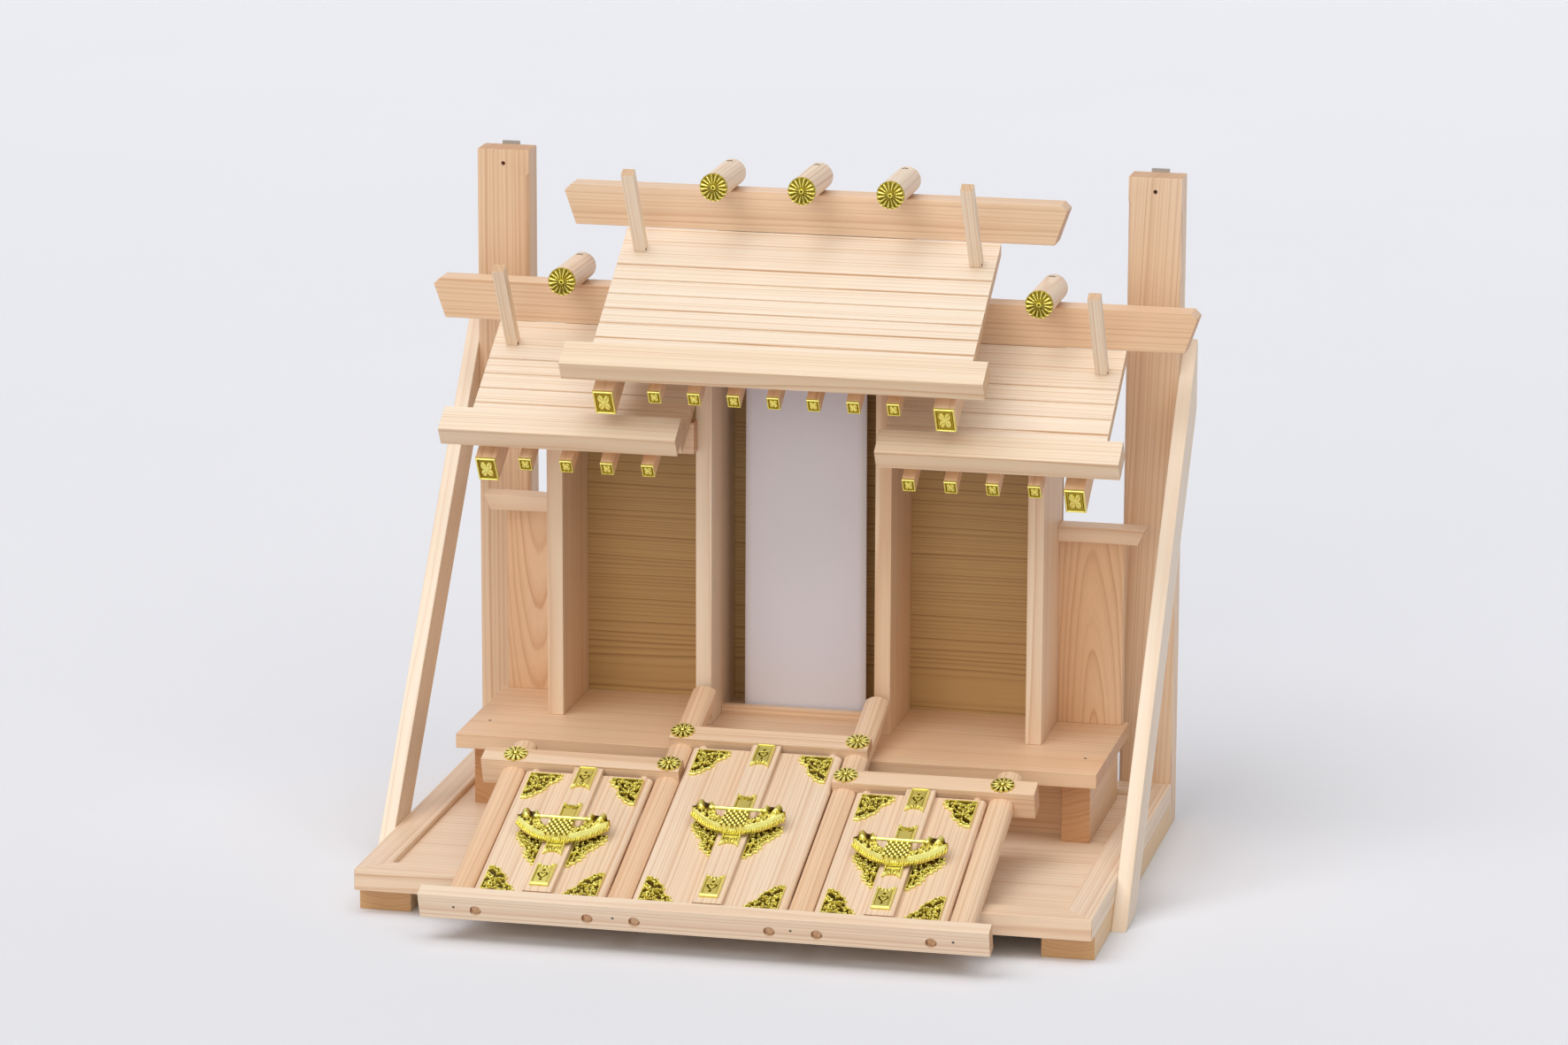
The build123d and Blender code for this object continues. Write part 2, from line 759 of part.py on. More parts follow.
def door_lock(bay):
    """The lock: a crescent over a long plate on the strip, with a bar between its horns."""
    x, u = bay.middle, bay.lock_u
    half = lock_width / 2
    horn_x = half - lock_band / 2
    plate = strip_plate(x, u - lock_plate_length / 2, u + lock_plate_length / 2,
                        ("foot", "head"))
    n_back = strip_front + tab_thickness
    bar_n = n_back + lock_thickness - lock_bar_radius
    bar_start = Plane(origin=door_plane.from_local_coords((x - horn_x, u + lock_bar_rise, bar_n)),
                      x_dir=door_plane.y_dir, z_dir=(1, 0, 0))
    with BuildPart() as lock:
        add(plate)
        with BuildSketch(door_plane.offset(n_back)):
            with BuildLine():
                ThreePointArc((x - half, u), (x, u - lock_belly), (x + half, u))
                Line((x + half, u), (x + horn_x, u + lock_horn))
                Line((x + horn_x, u + lock_horn), (x + half - lock_band, u + lock_bar_rise))
                ThreePointArc((x + half - lock_band, u + lock_bar_rise),
                              (x, u - lock_belly + lock_band),
                              (x - half + lock_band, u + lock_bar_rise))
                Line((x - half + lock_band, u + lock_bar_rise), (x - horn_x, u + lock_horn))
                Line((x - horn_x, u + lock_horn), (x - half, u))
            make_face()
        extrude(amount=lock_thickness)
        with BuildSketch(bar_start):
            Circle(lock_bar_radius)
        extrude(amount=2 * horn_x)
    return lock.part


def leaf_fittings(bay, side):
    """The gilt fittings of one leaf, with the strip's and the lock on the left one."""
    if side == "left":
        x, across = bay.x1 + leaf_side_gap + corner_plate_inset, 1
    else:
        x, across = bay.x2 - leaf_side_gap - corner_plate_inset, -1
    pieces = [
        corner_plate(x, bay.leaf_top - corner_plate_head_inset, across, -1),
        corner_plate(x, bay.leaf_foot + corner_plate_foot_inset, across, 1),
        wing_plate(bay, side),
    ]
    if side == "left":
        foot = bay.strip_foot + tab_foot_gap
        head = bay.strip_top - tab_head_gap
        pieces.append(strip_plate(bay.middle, foot, foot + tab_length, ("head",)))
        pieces.append(strip_plate(bay.middle, head - tab_length, head, ("foot",)))
        pieces.append(door_lock(bay))
    return Compound(pieces)


def head_rosettes():
    """The rosettes on the heads, one over each door post."""
    rosettes = []
    for x, u in ((outer_door_post_x, side_head_foot), (inner_door_post_x, side_head_foot),
                 (inner_door_post_x, centre_head_foot)):
        for side in (-1, 1):
            centre = (side * x, u + head_rail_width / 2, head_rail_front)
            plane = Plane(origin=door_plane.from_local_coords(centre), x_dir=(1, 0, 0),
                          z_dir=door_plane.z_dir)
            rosettes.append(rosette(plane, head_rosette_radius, head_rosette_thickness))
    return rosettes


def build_door_front():
    """The frame of the door front and its three pairs of leaves."""
    bores = pin_bores()
    sill = door_block((-rail_half, rail_half), (rail_foot, rail_top),
                      (sill_rail_back, sill_rail_front))
    save(sill - bores, "door_sill_rail")

    side_u = (side_head_foot, side_head_foot + head_rail_width)
    side_n = (side_head_back, head_rail_front)
    centre_u = (centre_head_foot, centre_head_foot + head_rail_width)
    outer_top = side_u[1] + outer_post_over_head
    inner_top = centre_u[1] + inner_post_over_head
    posts = [door_post(side * outer_door_post_x, outer_top) for side in (-1, 1)]
    posts += [door_post(side * inner_door_post_x, inner_top) for side in (-1, 1)]
    save(Compound(posts), "door_posts")

    inner_edge = inner_door_post_x - post_half
    centre_edge = inner_door_post_x + post_half
    heads = [
        door_block((-rail_half, -inner_edge), side_u, side_n),
        door_block((-centre_edge, centre_edge), centre_u, (0, head_rail_front)),
        door_block((inner_edge, rail_half), side_u, side_n),
    ]
    save(Compound([head - posts - bores for head in heads]), "head_rails")

    for bay in BAYS:
        for side in ("left", "right"):
            save(door_leaf(bay, side), f"{bay.name}_{side}_leaf")
            save(leaf_fittings(bay, side), f"{bay.name}_{side}_leaf_fittings")
        strip = door_block((bay.middle - strip_width / 2, bay.middle + strip_width / 2),
                           (bay.strip_foot, bay.strip_top), (leaf_front, strip_front))
        save(strip, f"{bay.name}_cover_strip")


def build_talisman():
    """A folded paper packet that stands on the floor behind the sill."""
    y2 = floor_back - sill_from_back + talisman_thickness + 1.0
    half = talisman_width / 2
    save(block((-half, half), (y2 - talisman_thickness, y2),
               (floor_height, floor_height + talisman_height)), "paper_talisman")


build_tray()
build_wall_posts()
build_shrine_base()
build_walls()
build_roofs()
build_door_front()
build_talisman()
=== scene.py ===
"""Looks of a three-bay household altar in bare cypress, with its door front leaning on the tray.

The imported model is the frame.  Sizes here are millimetres in the frame's own axes,
and metres only where a mesh is made.
"""

import json
import math
import random
import bpy
import bmesh
import numpy as np
from mathutils import Matrix, Vector
from mathutils.geometry import delaunay_2d_cdt


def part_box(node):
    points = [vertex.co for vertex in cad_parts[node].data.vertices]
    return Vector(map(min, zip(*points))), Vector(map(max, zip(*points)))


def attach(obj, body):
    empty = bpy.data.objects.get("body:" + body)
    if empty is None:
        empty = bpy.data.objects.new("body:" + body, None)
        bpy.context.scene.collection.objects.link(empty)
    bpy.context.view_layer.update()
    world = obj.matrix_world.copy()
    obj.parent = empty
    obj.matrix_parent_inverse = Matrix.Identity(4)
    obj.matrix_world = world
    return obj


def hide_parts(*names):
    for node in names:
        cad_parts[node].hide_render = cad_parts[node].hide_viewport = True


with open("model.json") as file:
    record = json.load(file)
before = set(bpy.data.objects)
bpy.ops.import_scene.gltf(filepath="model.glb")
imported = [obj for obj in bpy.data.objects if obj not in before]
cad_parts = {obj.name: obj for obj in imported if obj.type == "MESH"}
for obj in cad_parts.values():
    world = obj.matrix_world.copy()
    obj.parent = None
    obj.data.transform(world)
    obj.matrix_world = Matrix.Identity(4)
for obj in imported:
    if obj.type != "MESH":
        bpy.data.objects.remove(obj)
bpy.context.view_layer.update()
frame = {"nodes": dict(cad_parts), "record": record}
nodes = frame["nodes"]
body_of_node = {n: body for body, members in frame["record"]["behaviour"]["bodies"].items() for n in members}
slot_of_node = {row["node"]: row["material_slot"] for row in frame["record"]["subparts"]}

MM = 0.001

# Places that the CAD pieces give
tray_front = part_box("tray_long_rails")[0].y / MM
tray_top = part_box("tray_long_rails")[1].z / MM
floor_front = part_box("floor_board")[0].y / MM
floor_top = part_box("floor_board")[1].z / MM
lean = math.atan2(floor_top - tray_top, floor_front - tray_front)
UP_DOOR = Vector((0, math.cos(lean), math.sin(lean)))
OUT_DOOR = Vector((0, -math.sin(lean), math.cos(lean)))


def door_point(x, u, n):
    """A point in the leaning frame of the door front."""
    return Vector((x, tray_front, tray_top)) + float(u) * UP_DOOR + float(n) * OUT_DOOR


# Node trees

class Tree:
    """A small helper that adds and links shader nodes."""

    def __init__(self, material):
        material.use_nodes = True
        self.tree = material.node_tree
        self.tree.nodes.clear()

    def add(self, kind, inputs=None, **settings):
        node = self.tree.nodes.new(kind)
        for key, value in settings.items():
            setattr(node, key, value)
        for key, value in (inputs or {}).items():
            if isinstance(value, bpy.types.NodeSocket):
                self.tree.links.new(value, node.inputs[key])
            else:
                node.inputs[key].default_value = value
        return node

    def math(self, operation, a, b=0.0, c=0.0):
        return self.add("ShaderNodeMath", {0: a, 1: b, 2: c}, operation=operation).outputs[0]

    def mix(self, factor, a, b, blend="MIX"):
        node = self.add("ShaderNodeMix", {0: factor, 6: a, 7: b}, data_type="RGBA", blend_type=blend)
        return node.outputs[2]

    def ramp(self, factor, stops):
        node = self.add("ShaderNodeValToRGB", {0: factor})
        ramp = node.color_ramp
        while len(ramp.elements) > len(stops):
            ramp.elements.remove(ramp.elements[-1])
        while len(ramp.elements) < len(stops):
            ramp.elements.new(1.0)
        for element, (place, value) in zip(ramp.elements, stops):
            element.position = place
            element.color = (value, value, value, 1) if isinstance(value, float) else (*value, 1)
        return node.outputs[0]

    def noise(self, place, scale, detail, roughness=0.5):
        inputs = {"Vector": place, "Scale": scale, "Detail": detail, "Roughness": roughness}
        return self.add("ShaderNodeTexNoise", inputs).outputs[0]

    def surface(self, colour, rough, bump, metallic=0.0):
        inputs = {"Base Color": colour, "Roughness": rough, "Normal": bump, "Metallic": metallic}
        shader = self.add("ShaderNodeBsdfPrincipled", inputs)
        self.add("ShaderNodeOutputMaterial", {0: shader.outputs[0]})


def linear(red, green, blue):
    """A colour given as eight-bit screen values, as the shader wants it."""
    return tuple(((v / 255 + 0.055) / 1.055) ** 2.4 if v > 10 else v / 255 / 12.92
                 for v in (red, green, blue))


def wood_material(name, early, late, heart, ring_pitch, contrast, fibre=1.0, rough=0.45):
    """Planed softwood: growth rings round a pith, fibres along the grain, darker end grain, and a share of
    that darkening as painted shade on the eaves' front faces.
    """
    material = bpy.data.materials.new(name)
    t = Tree(material)
    grain = t.add("ShaderNodeAttribute", attribute_name="grain").outputs["Vector"]
    tone = t.add("ShaderNodeAttribute", attribute_name="tone").outputs["Fac"]
    # end is 1 on cut ends, which are darker end grain, and a share on the eaves' front faces, where it is
    # painted shade
    end = t.add("ShaderNodeAttribute", attribute_name="end").outputs["Fac"]
    _, y, z = t.add("ShaderNodeSeparateXYZ", {0: grain}).outputs

    def drawn_out(along, across, detail, roughness=0.5):
        """Noise drawn out along the grain, with so many waves a metre each way."""
        place = t.add("ShaderNodeVectorMath", {0: grain, 1: (along, across, across)}, operation="MULTIPLY")
        return t.noise(place.outputs[0], 1.0, detail, roughness)

    # Growth rings: pale early wood that darkens to a late edge, each ring a little apart from the next
    wobble = drawn_out(5.0, 60.0, 2.0, 0.45)
    radius = t.math("SQRT", t.math("ADD", t.math("MULTIPLY", y, y), t.math("MULTIPLY", z, z)))
    radius = t.math("MULTIPLY_ADD", t.math("SUBTRACT", wobble, 0.5), 0.0042, radius)
    spacing = {"W": t.math("MULTIPLY", radius, 150.0), "Scale": 1.0, "Detail": 1.0}
    uneven = t.add("ShaderNodeTexNoise", spacing, noise_dimensions="1D").outputs[0]
    phase = t.math("MULTIPLY_ADD", uneven, 1.7, t.math("DIVIDE", radius, ring_pitch * MM))
    share = t.math("FRACT", phase)
    number = {"W": t.math("FLOOR", phase)}
    ring = t.add("ShaderNodeTexWhiteNoise", number, noise_dimensions="1D").outputs[0]
    band = t.ramp(share, [(0.0, 0.12), (0.35, 0.06), (0.72, 0.5), (0.86, 1.0), (0.93, 0.85), (1.0, 0.12)])
    weight = t.math("MULTIPLY", band, t.math("MULTIPLY_ADD", ring, 0.75, 0.25))
    weight = t.math("MULTIPLY", weight, contrast)

    # Warmer patches and tones over the base colour, fine streaks and the darker cut ends, whose darkening is
    # also painted as shade on the eaves' front faces
    fibres = drawn_out(28.0, 1500.0, 3.0, 0.6)
    patches = drawn_out(4.0, 26.0, 1.5)
    warmth = t.math("ADD", tone, t.math("MULTIPLY", t.math("SUBTRACT", patches, 0.5), 0.9))
    warmth = t.add("ShaderNodeClamp", {0: warmth}).outputs[0]
    base = t.mix(warmth, (*early, 1), (*heart, 1))
    colour = t.mix(t.math("MULTIPLY", weight, 0.62), base, (*late, 1))
    streak = t.math("MULTIPLY_ADD", t.math("SUBTRACT", fibres, 0.5), 0.16 * fibre, 1.0)
    grey = t.add("ShaderNodeCombineColor", {0: streak, 1: streak, 2: streak}).outputs[0]
    colour = t.mix(1.0, colour, grey, "MULTIPLY")
    cut = t.mix(1.0, colour, (0.76, 0.62, 0.49, 1), "MULTIPLY")
    colour = t.mix(end, colour, cut)

    relief = t.math("MULTIPLY", fibres, 0.6 * fibre)
    bump = t.add("ShaderNodeBump", {"Height": relief, "Strength": 0.22, "Distance": 0.0002}).outputs[0]
    shine = t.math("MULTIPLY_ADD", fibres, 0.14, rough - 0.07)
    t.surface(colour, shine, bump)
    return material


WOODS = {
    "cream_cypress": wood_material("cream_cypress", linear(245, 229, 210), linear(212, 166, 118),
                                   linear(237, 204, 160), 2.3, 1.2),
    "pink_cypress": wood_material("pink_cypress", linear(243, 223, 200), linear(206, 156, 114),
                                  linear(235, 194, 154), 2.6, 1.3),
    "tan_board": wood_material("tan_board", linear(204, 170, 116), linear(142, 100, 54),
                               linear(194, 156, 100), 1.9, 1.4, 1.2, 0.55),
}


def gilt_material():
    """Pressed gilt sheet, browner in the recesses of its pattern, partly patina and partly painted shade,
    with a near-white painted highlight on its raised parts.
    """
    material = bpy.data.materials.new("gilt")
    t = Tree(material)
    place = t.add("ShaderNodeNewGeometry").outputs["Position"]
    fine = t.noise(place, 1400.0, 2.0)
    patina_and_painted_light = t.add("ShaderNodeAttribute", attribute_name="patina_and_painted_light").outputs["Fac"]
    # Dark olive in the hollows, partly patina and partly painted shade, through gold to a near-white painted
    # highlight
    colour = t.ramp(patina_and_painted_light, [(0.0, linear(84, 66, 10)), (0.4, linear(190, 168, 40)),
                           (1.0, linear(255, 251, 150))])
    bump = t.add("ShaderNodeBump", {"Height": fine, "Strength": 0.15, "Distance": 0.0001}).outputs[0]
    rough = t.math("MULTIPLY_ADD", fine, 0.16, 0.1)
    # Points with more painted highlight are made less metallic, so that the highlight shows as their own
    # colour
    metal = t.math("MULTIPLY_ADD", patina_and_painted_light, -0.3, 0.85)
    t.surface(colour, rough, bump, metal)
    return material


def plain_material(name, colour, rough, metallic=0.0, speckle=0.08, scale=600.0):
    """A plain finish whose colour and sheen vary a little with a fine noise."""
    material = bpy.data.materials.new(name)
    t = Tree(material)
    place = t.add("ShaderNodeTexCoord").outputs["Object"]
    fine = t.noise(place, scale, 3.0)
    dark = tuple(c * (1 - speckle) for c in colour)
    tint = t.mix(fine, (*dark, 1), (*colour, 1))
    bump = t.add("ShaderNodeBump", {"Height": fine, "Strength": 0.1, "Distance": 0.0001}).outputs[0]
    spread = t.math("MULTIPLY_ADD", fine, 0.1, rough - 0.05)
    t.surface(tint, spread, bump, metallic)
    return material


GILT = gilt_material()
PAPER = plain_material("paper", linear(228, 226, 238), 0.75, speckle=0.03, scale=2500.0)
ZINC = plain_material("steel_plate", linear(176, 178, 180), 0.35, 1.0)
NAIL = plain_material("nail_head", linear(120, 112, 104), 0.4, 1.0, 0.3)
DARK = plain_material("dark_hole", linear(58, 40, 26), 0.9)
FINISHES = {**WOODS, "gilt": GILT, "paper": PAPER, "steel_plate": ZINC}


# Meshes

def make_object(name, verts, faces, material, sharp=None, outward=False, fields=()):
    """A smooth-shaded mesh object in metres, creased past an angle, with fields such as its grain."""
    mesh = bpy.data.meshes.new(name)
    mesh.from_pydata(verts, [], faces)
    for field, kind, domain, values in fields:
        values = np.array(values, np.float32).ravel()
        made = mesh.attributes.new(field, kind, domain)
        made.data.foreach_set("vector" if kind == "FLOAT_VECTOR" else "value", values)
    if outward:
        work = bmesh.new()
        work.from_mesh(mesh)
        bmesh.ops.recalc_face_normals(work, faces=work.faces)
        work.to_mesh(mesh)
        work.free()
    mesh.materials.append(material)
    mesh.polygons.foreach_set("use_smooth", [True] * len(mesh.polygons))
    if sharp is not None:
        mesh.set_sharp_from_angle(angle=math.radians(sharp))
    obj = bpy.data.objects.new(name, mesh)
    bpy.context.scene.collection.objects.link(obj)
    return obj


def in_metres(points):
    """Points given in millimetres, as a mesh wants them."""
    return [Vector(point) * MM for point in points]


def tube_faces(base, sides, rings):
    """Faces of a closed tube, whose rings of points follow each other from a base."""
    faces = [(base + i * sides + k, base + i * sides + (k + 1) % sides,
              base + (i + 1) * sides + (k + 1) % sides, base + (i + 1) * sides + k)
             for i in range(rings - 1) for k in range(sides)]
    faces.append(tuple(base + k for k in reversed(range(sides))))
    faces.append(tuple(base + (rings - 1) * sides + k for k in range(sides)))
    return faces


# Boards

WELD = 2e-6             # metres between points that are one
FLAT = 0.6              # degrees between faces that are one flat


def solids(node):
    """The separate solids of a node, welded, each with its flat faces whole."""
    whole = bmesh.new()
    whole.from_mesh(nodes[node].data)
    bmesh.ops.remove_doubles(whole, verts=whole.verts, dist=WELD)
    bmesh.ops.dissolve_limit(whole, angle_limit=math.radians(FLAT), verts=whole.verts, edges=whole.edges)
    whole.faces.index_update()
    found, seen = [], set()
    for start in whole.faces:
        if start.index in seen:
            continue
        seen.add(start.index)
        island = [start]
        for face in island:
            for other in (f for edge in face.edges for f in edge.link_faces if f.index not in seen):
                seen.add(other.index)
                island.append(other)
        part = bmesh.new()
        places = {}
        for face in island:
            for v in face.verts:
                if v not in places:
                    places[v] = part.verts.new(v.co)
            part.faces.new([places[v] for v in face.verts])
        part.normal_update()
        found.append(part)
    whole.free()
    found.sort(key=lambda part: tuple(round(c, 5) for c in centre_of(part)))
    return found


def centre_of(part):
    """The middle of a solid's box."""
    co = np.array([v.co for v in part.verts])
    return Vector((co.min(0) + co.max(0)) / 2)


def grain_axes(part):
    """Along the grain, across the board and through its thickness, from its longest edge."""
    longest = max(part.edges, key=lambda edge: edge.calc_length())
    along = (longest.verts[1].co - longest.verts[0].co).normalized()
    if max(along, key=abs) < 0:
        along.negate()
    co = np.array([v.co for v in part.verts])
    best = None
    for face in part.faces:
        if abs(face.normal.dot(along)) > 0.05 or face.calc_area() < 1e-6:
            continue
        reach = co @ np.array(face.normal)
        thick = reach.max() - reach.min()
        if best is None or thick < best[0] - 1e-6:
            best = (thick, face.normal.copy())
    through = best[1]
    if max(through, key=abs) < 0:
        through.negate()
    return along, through.cross(along).normalized(), through


def chance(name):
    """A generator of its own for each named thing, so that every run is alike."""
    return random.Random(f"altar {name}")


# How a board is cut from its log: the ranges of its distance from the pith, across the board and
# through it, in millimetres, and the most that the grain leans each way along it
CUTS = {
    "straight": ((70, 120), (15, 40), 0.004, 0.004),
    "flat": ((0, 12), (28, 60), 0.01, 0.012),
    "flame": ((0, 3), (9, 14), 0.01, 0.10),
}
EASED_LENGTH = 2.0      # millimetres: shorter edges aren't eased
EASED_ANGLE = 28        # degrees: edges that turn less aren't eased
EAVE_FRONT_SHADE = 0.3        # how much of the end grain's darkening an eave's front face gets, as painted shade


def add_board(mesh_data, part, key, cut, tone_range, bevel):
    """Bevel one board and add it, with its grain, to the lists of a piece."""
    axes = grain_axes(part)
    edges = [e for e in part.edges if len(e.link_faces) == 2 and e.calc_length() > EASED_LENGTH * MM
             and e.calc_face_angle(0) > math.radians(EASED_ANGLE)]
    if bevel and edges:
        bmesh.ops.bevel(part, geom=edges, offset=bevel * MM, offset_type="OFFSET", segments=2,
                        profile=0.5, clamp_overlap=True, affect="EDGES")
    bmesh.ops.recalc_face_normals(part, faces=part.faces)
    part.verts.index_update()
    along, across, through = (np.array(axis) for axis in axes)
    dice = chance(key)
    (a1, a2), (b1, b2), tilt_a, tilt_b = CUTS[cut]
    side = dice.choice((-1, 1))
    co = np.array([v.co for v in part.verts], float)
    middle = (co.max(0) + co.min(0)) / 2
    far = dice.uniform(a1, a2) * MM * side
    deep = dice.uniform(b1, b2) * MM * dice.choice((-1, 1))
    x = (co - middle) @ along
    y = (co - middle) @ across - far + dice.uniform(-tilt_a, tilt_a) * x
    z = (co - middle) @ through - deep + tilt_b * dice.choice((-1, 1)) * x
    grain = np.stack([x + dice.uniform(-20, 20), y, z], axis=1)
    tone = dice.uniform(*tone_range)
    base = len(mesh_data["verts"])
    mesh_data["verts"].extend(map(tuple, co))
    mesh_data["grain"].extend(map(tuple, grain))
    mesh_data["tone"].extend([tone] * len(co))
    for face in part.faces:
        mesh_data["faces"].append([base + v.index for v in face.verts])
        # Faces of an eave board that look to the front get painted shade, a share of the end grain's
        # darkening
        front_shade = EAVE_FRONT_SHADE if key.startswith("eave_boards") and face.normal.y < -0.6 else 0.0
        mesh_data["end"].append(1.0 if abs(face.normal.dot(Vector(along))) > 0.75 else front_shade)
    part.free()


def in_door_axes(point):
    """A point of the frame, in millimetres along the door front's own axes."""
    offset = Vector(point) / MM - Vector((0, tray_front, tray_top))
    return offset.x, offset.dot(UP_DOOR), offset.dot(OUT_DOOR)


PIVOTS = [in_door_axes(joint["pos_m"]) for joint in frame["record"]["behaviour"]["joints"]]
RAIL_FOOT = min(in_door_axes(v.co)[1] for v in nodes["door_sill_rail"].data.vertices)
PIN_RECESS = 1.7        # how far a pin ends inside its bore
BORE_RIM = (1.0, 3.2)   # how far from a pivot the rim of its bore is found
MOUTH_RADIUS = 3.05     # of the wider mouth of a bore


def recess_pins(node, part):
    """Wider bores in the sill rail, and pins that end a little inside them."""
    for vert in part.verts:
        x, u, n = in_door_axes(vert.co)
        if u > RAIL_FOOT + 0.1:
            continue
        if node != "door_sill_rail":
            vert.co += UP_DOOR * PIN_RECESS * MM
            continue
        for pivot_x, _, pivot_n in PIVOTS:
            offset = Vector((x - pivot_x, 0, 0)) + OUT_DOOR * (n - pivot_n)
            if BORE_RIM[0] < offset.length < BORE_RIM[1]:
                vert.co += offset.normalized() * (MOUTH_RADIUS - offset.length) * MM


CHAMFER_STOP = 15       # below the top of a wall post
CHAMFER_WIDTH = 1.9


def stop_chamfer(part):
    """A wide chamfer down a wall post's inner front edge, stopped below its top."""
    co = np.array([v.co for v in part.verts])
    top, front = co[:, 2].max() - CHAMFER_STOP * MM, co[:, 1].min()
    side = co[:, 0].max() if co[:, 0].mean() < 0 else co[:, 0].min()
    bmesh.ops.bisect_plane(part, geom=part.verts[:] + part.edges[:] + part.faces[:],
                           plane_co=(0, 0, top), plane_no=(0, 0, 1))
    near = 1e-5
    edges = [e for e in part.edges if all(
        abs(v.co.y - front) < near and abs(v.co.x - side) < near and v.co.z < top + near for v in e.verts)]
    bmesh.ops.bevel(part, geom=edges, offset=CHAMFER_WIDTH * MM, offset_type="OFFSET", segments=1,
                    profile=0.5, affect="EDGES")


GRAIN_FIELDS = (("grain", "FLOAT_VECTOR", "POINT"), ("tone", "FLOAT", "POINT"), ("end", "FLOAT", "FACE"))


def dress(node, cut, tones, bevel):
    """Replace a node by the same boards with eased edges and a grain of their own."""
    data = {key: [] for key in ("verts", "faces", "grain", "tone", "end")}
    for i, part in enumerate(solids(node)):
        if node == "door_sill_rail" or node.endswith("_leaf"):
            recess_pins(node, part)
        if node == "wall_posts":
            stop_chamfer(part)
        add_board(data, part, f"{node} {i}", cut, tones, bevel)
    obj = make_object(f"{node}_boards", data["verts"], data["faces"], WOODS[slot_of_node[node]], 22,
                      fields=[(*row, data[row[0]]) for row in GRAIN_FIELDS])
    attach(obj, body_of_node[node])
    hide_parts(node)


# Each node's range of tone, from pale to warm, and the width of its eased edges
BOARDS = {
    "tray_long_rails": ((0.05, 0.4), 0.5), "tray_short_rails": ((0.05, 0.4), 0.5),
    "tray_panel": ((0.1, 0.35), 0.0), "tray_battens": ((0.9, 1.2), 0.4), "wall_posts": ((0.3, 0.7), 0.4),
    "side_struts": ((0.0, 0.3), 0.5), "floor_board": ((0.6, 0.9), 0.4), "floor_legs": ((0.8, 1.1), 0.4),
    "floor_cross_rail": ((0.5, 0.8), 0.4), "outer_walls": ((0.1, 0.5), 0.4), "inner_walls": ((0.1, 0.4), 0.4),
    "back_panel": ((0.3, 0.6), 0.2), "talisman_sill": ((0.2, 0.5), 0.3), "screen_panels": ((0.6, 0.9), 0.3),
    "screen_rails": ((0.3, 0.6), 0.3), "centre_roof_board": ((0.0, 0.2), 0.2),
    "side_roof_boards": ((0.0, 0.2), 0.2), "eave_boards": ((0.0, 0.4), 0.4),
    "ridge_boards": ((0.6, 0.9), 0.4), "ridge_logs": ((0.0, 0.3), 0.3), "roof_finials": ((0.0, 0.3), 0.3),
    "rafters": ((0.6, 1.0), 0.2), "door_sill_rail": ((0.0, 0.3), 0.4), "door_posts": ((0.5, 0.9), 0.3),
    "head_rails": ((0.4, 0.8), 0.4), "side_lintels": ((0.3, 0.6), 0.3),
}
for bay in ("left_bay", "centre_bay", "right_bay"):
    for side in ("left", "right"):
        BOARDS[f"{bay}_{side}_leaf"] = ((0.15, 0.55), 0.25)
    BOARDS[f"{bay}_cover_strip"] = ((0.1, 0.4), 0.3)
OTHER_CUTS = {"tray_panel": "flat", "tray_battens": "flat", "ridge_logs": "flat", "screen_panels": "flame"}
for node, (tones, bevel) in BOARDS.items():
    dress(node, OTHER_CUTS.get(node, "straight"), tones, bevel)


# Gilt sheet, pressed in relief.  Sheet coordinates are millimetres

def to_segment(points, a, b):
    """Distance from a segment, and the share of the way along it."""
    span = np.subtract(b, a)
    share = np.clip((points - a) @ span / max(span @ span, 1e-9), 0, 1)
    return np.linalg.norm(points - a - share[:, None] * span, axis=1), share


def to_edge(points, outline):
    """Distance of each point from a closed outline."""
    best = np.full(len(points), 1e9)
    for a, b in zip(outline, np.roll(outline, -1, axis=0)):
        best = np.minimum(best, to_segment(points, a, b)[0])
    return best


def inside(points, outline):
    """Which points lie inside a closed outline."""
    x, y = points[:, 0], points[:, 1]
    hit = np.zeros(len(points), bool)
    for (x1, y1), (x2, y2) in zip(outline, np.roll(outline, -1, axis=0)):
        if y1 != y2:
            hit ^= ((y1 > y) != (y2 > y)) & (x < (x2 - x1) * (y - y1) / (y2 - y1) + x1)
    return hit


def resample(outline, step):
    """The same closed outline with no gap longer than a step, anticlockwise."""
    outline = np.array(outline, float)
    ahead = np.roll(outline, -1, axis=0)
    if np.sum(outline[:, 0] * ahead[:, 1] - ahead[:, 0] * outline[:, 1]) < 0:
        outline = outline[::-1]
    found = []
    for a, b in zip(outline, np.roll(outline, -1, axis=0)):
        count = max(1, math.ceil(np.linalg.norm(b - a) / step))
        found.extend(a + (b - a) * i / count for i in range(count))
    return np.array(found)


def lobed(cusps, bulge=0.3, steps=6):
    """A row of lobes between cusps, each an arc that swells to the left of its way."""
    found = [cusps[0]]
    for a, b in zip(cusps, cusps[1:]):
        a, b = np.array(a, float), np.array(b, float)
        left = np.array((-(b - a)[1], (b - a)[0]))
        for i in range(1, steps + 1):
            t = i / steps
            found.append(tuple(a + (b - a) * t + left * bulge * 4 * t * (1 - t)))
    return found


def strokes(points, lines):
    """How deep each point lies in the nearest of some tapering strokes, below zero outside them."""
    best = np.full(len(points), -9.0)
    for line in lines:
        for (x1, y1, w1), (x2, y2, w2) in zip(line, line[1:]):
            gap, share = to_segment(points, (x1, y1), (x2, y2))
            best = np.maximum(best, w1 + share * (w2 - w1) - gap)
    return best


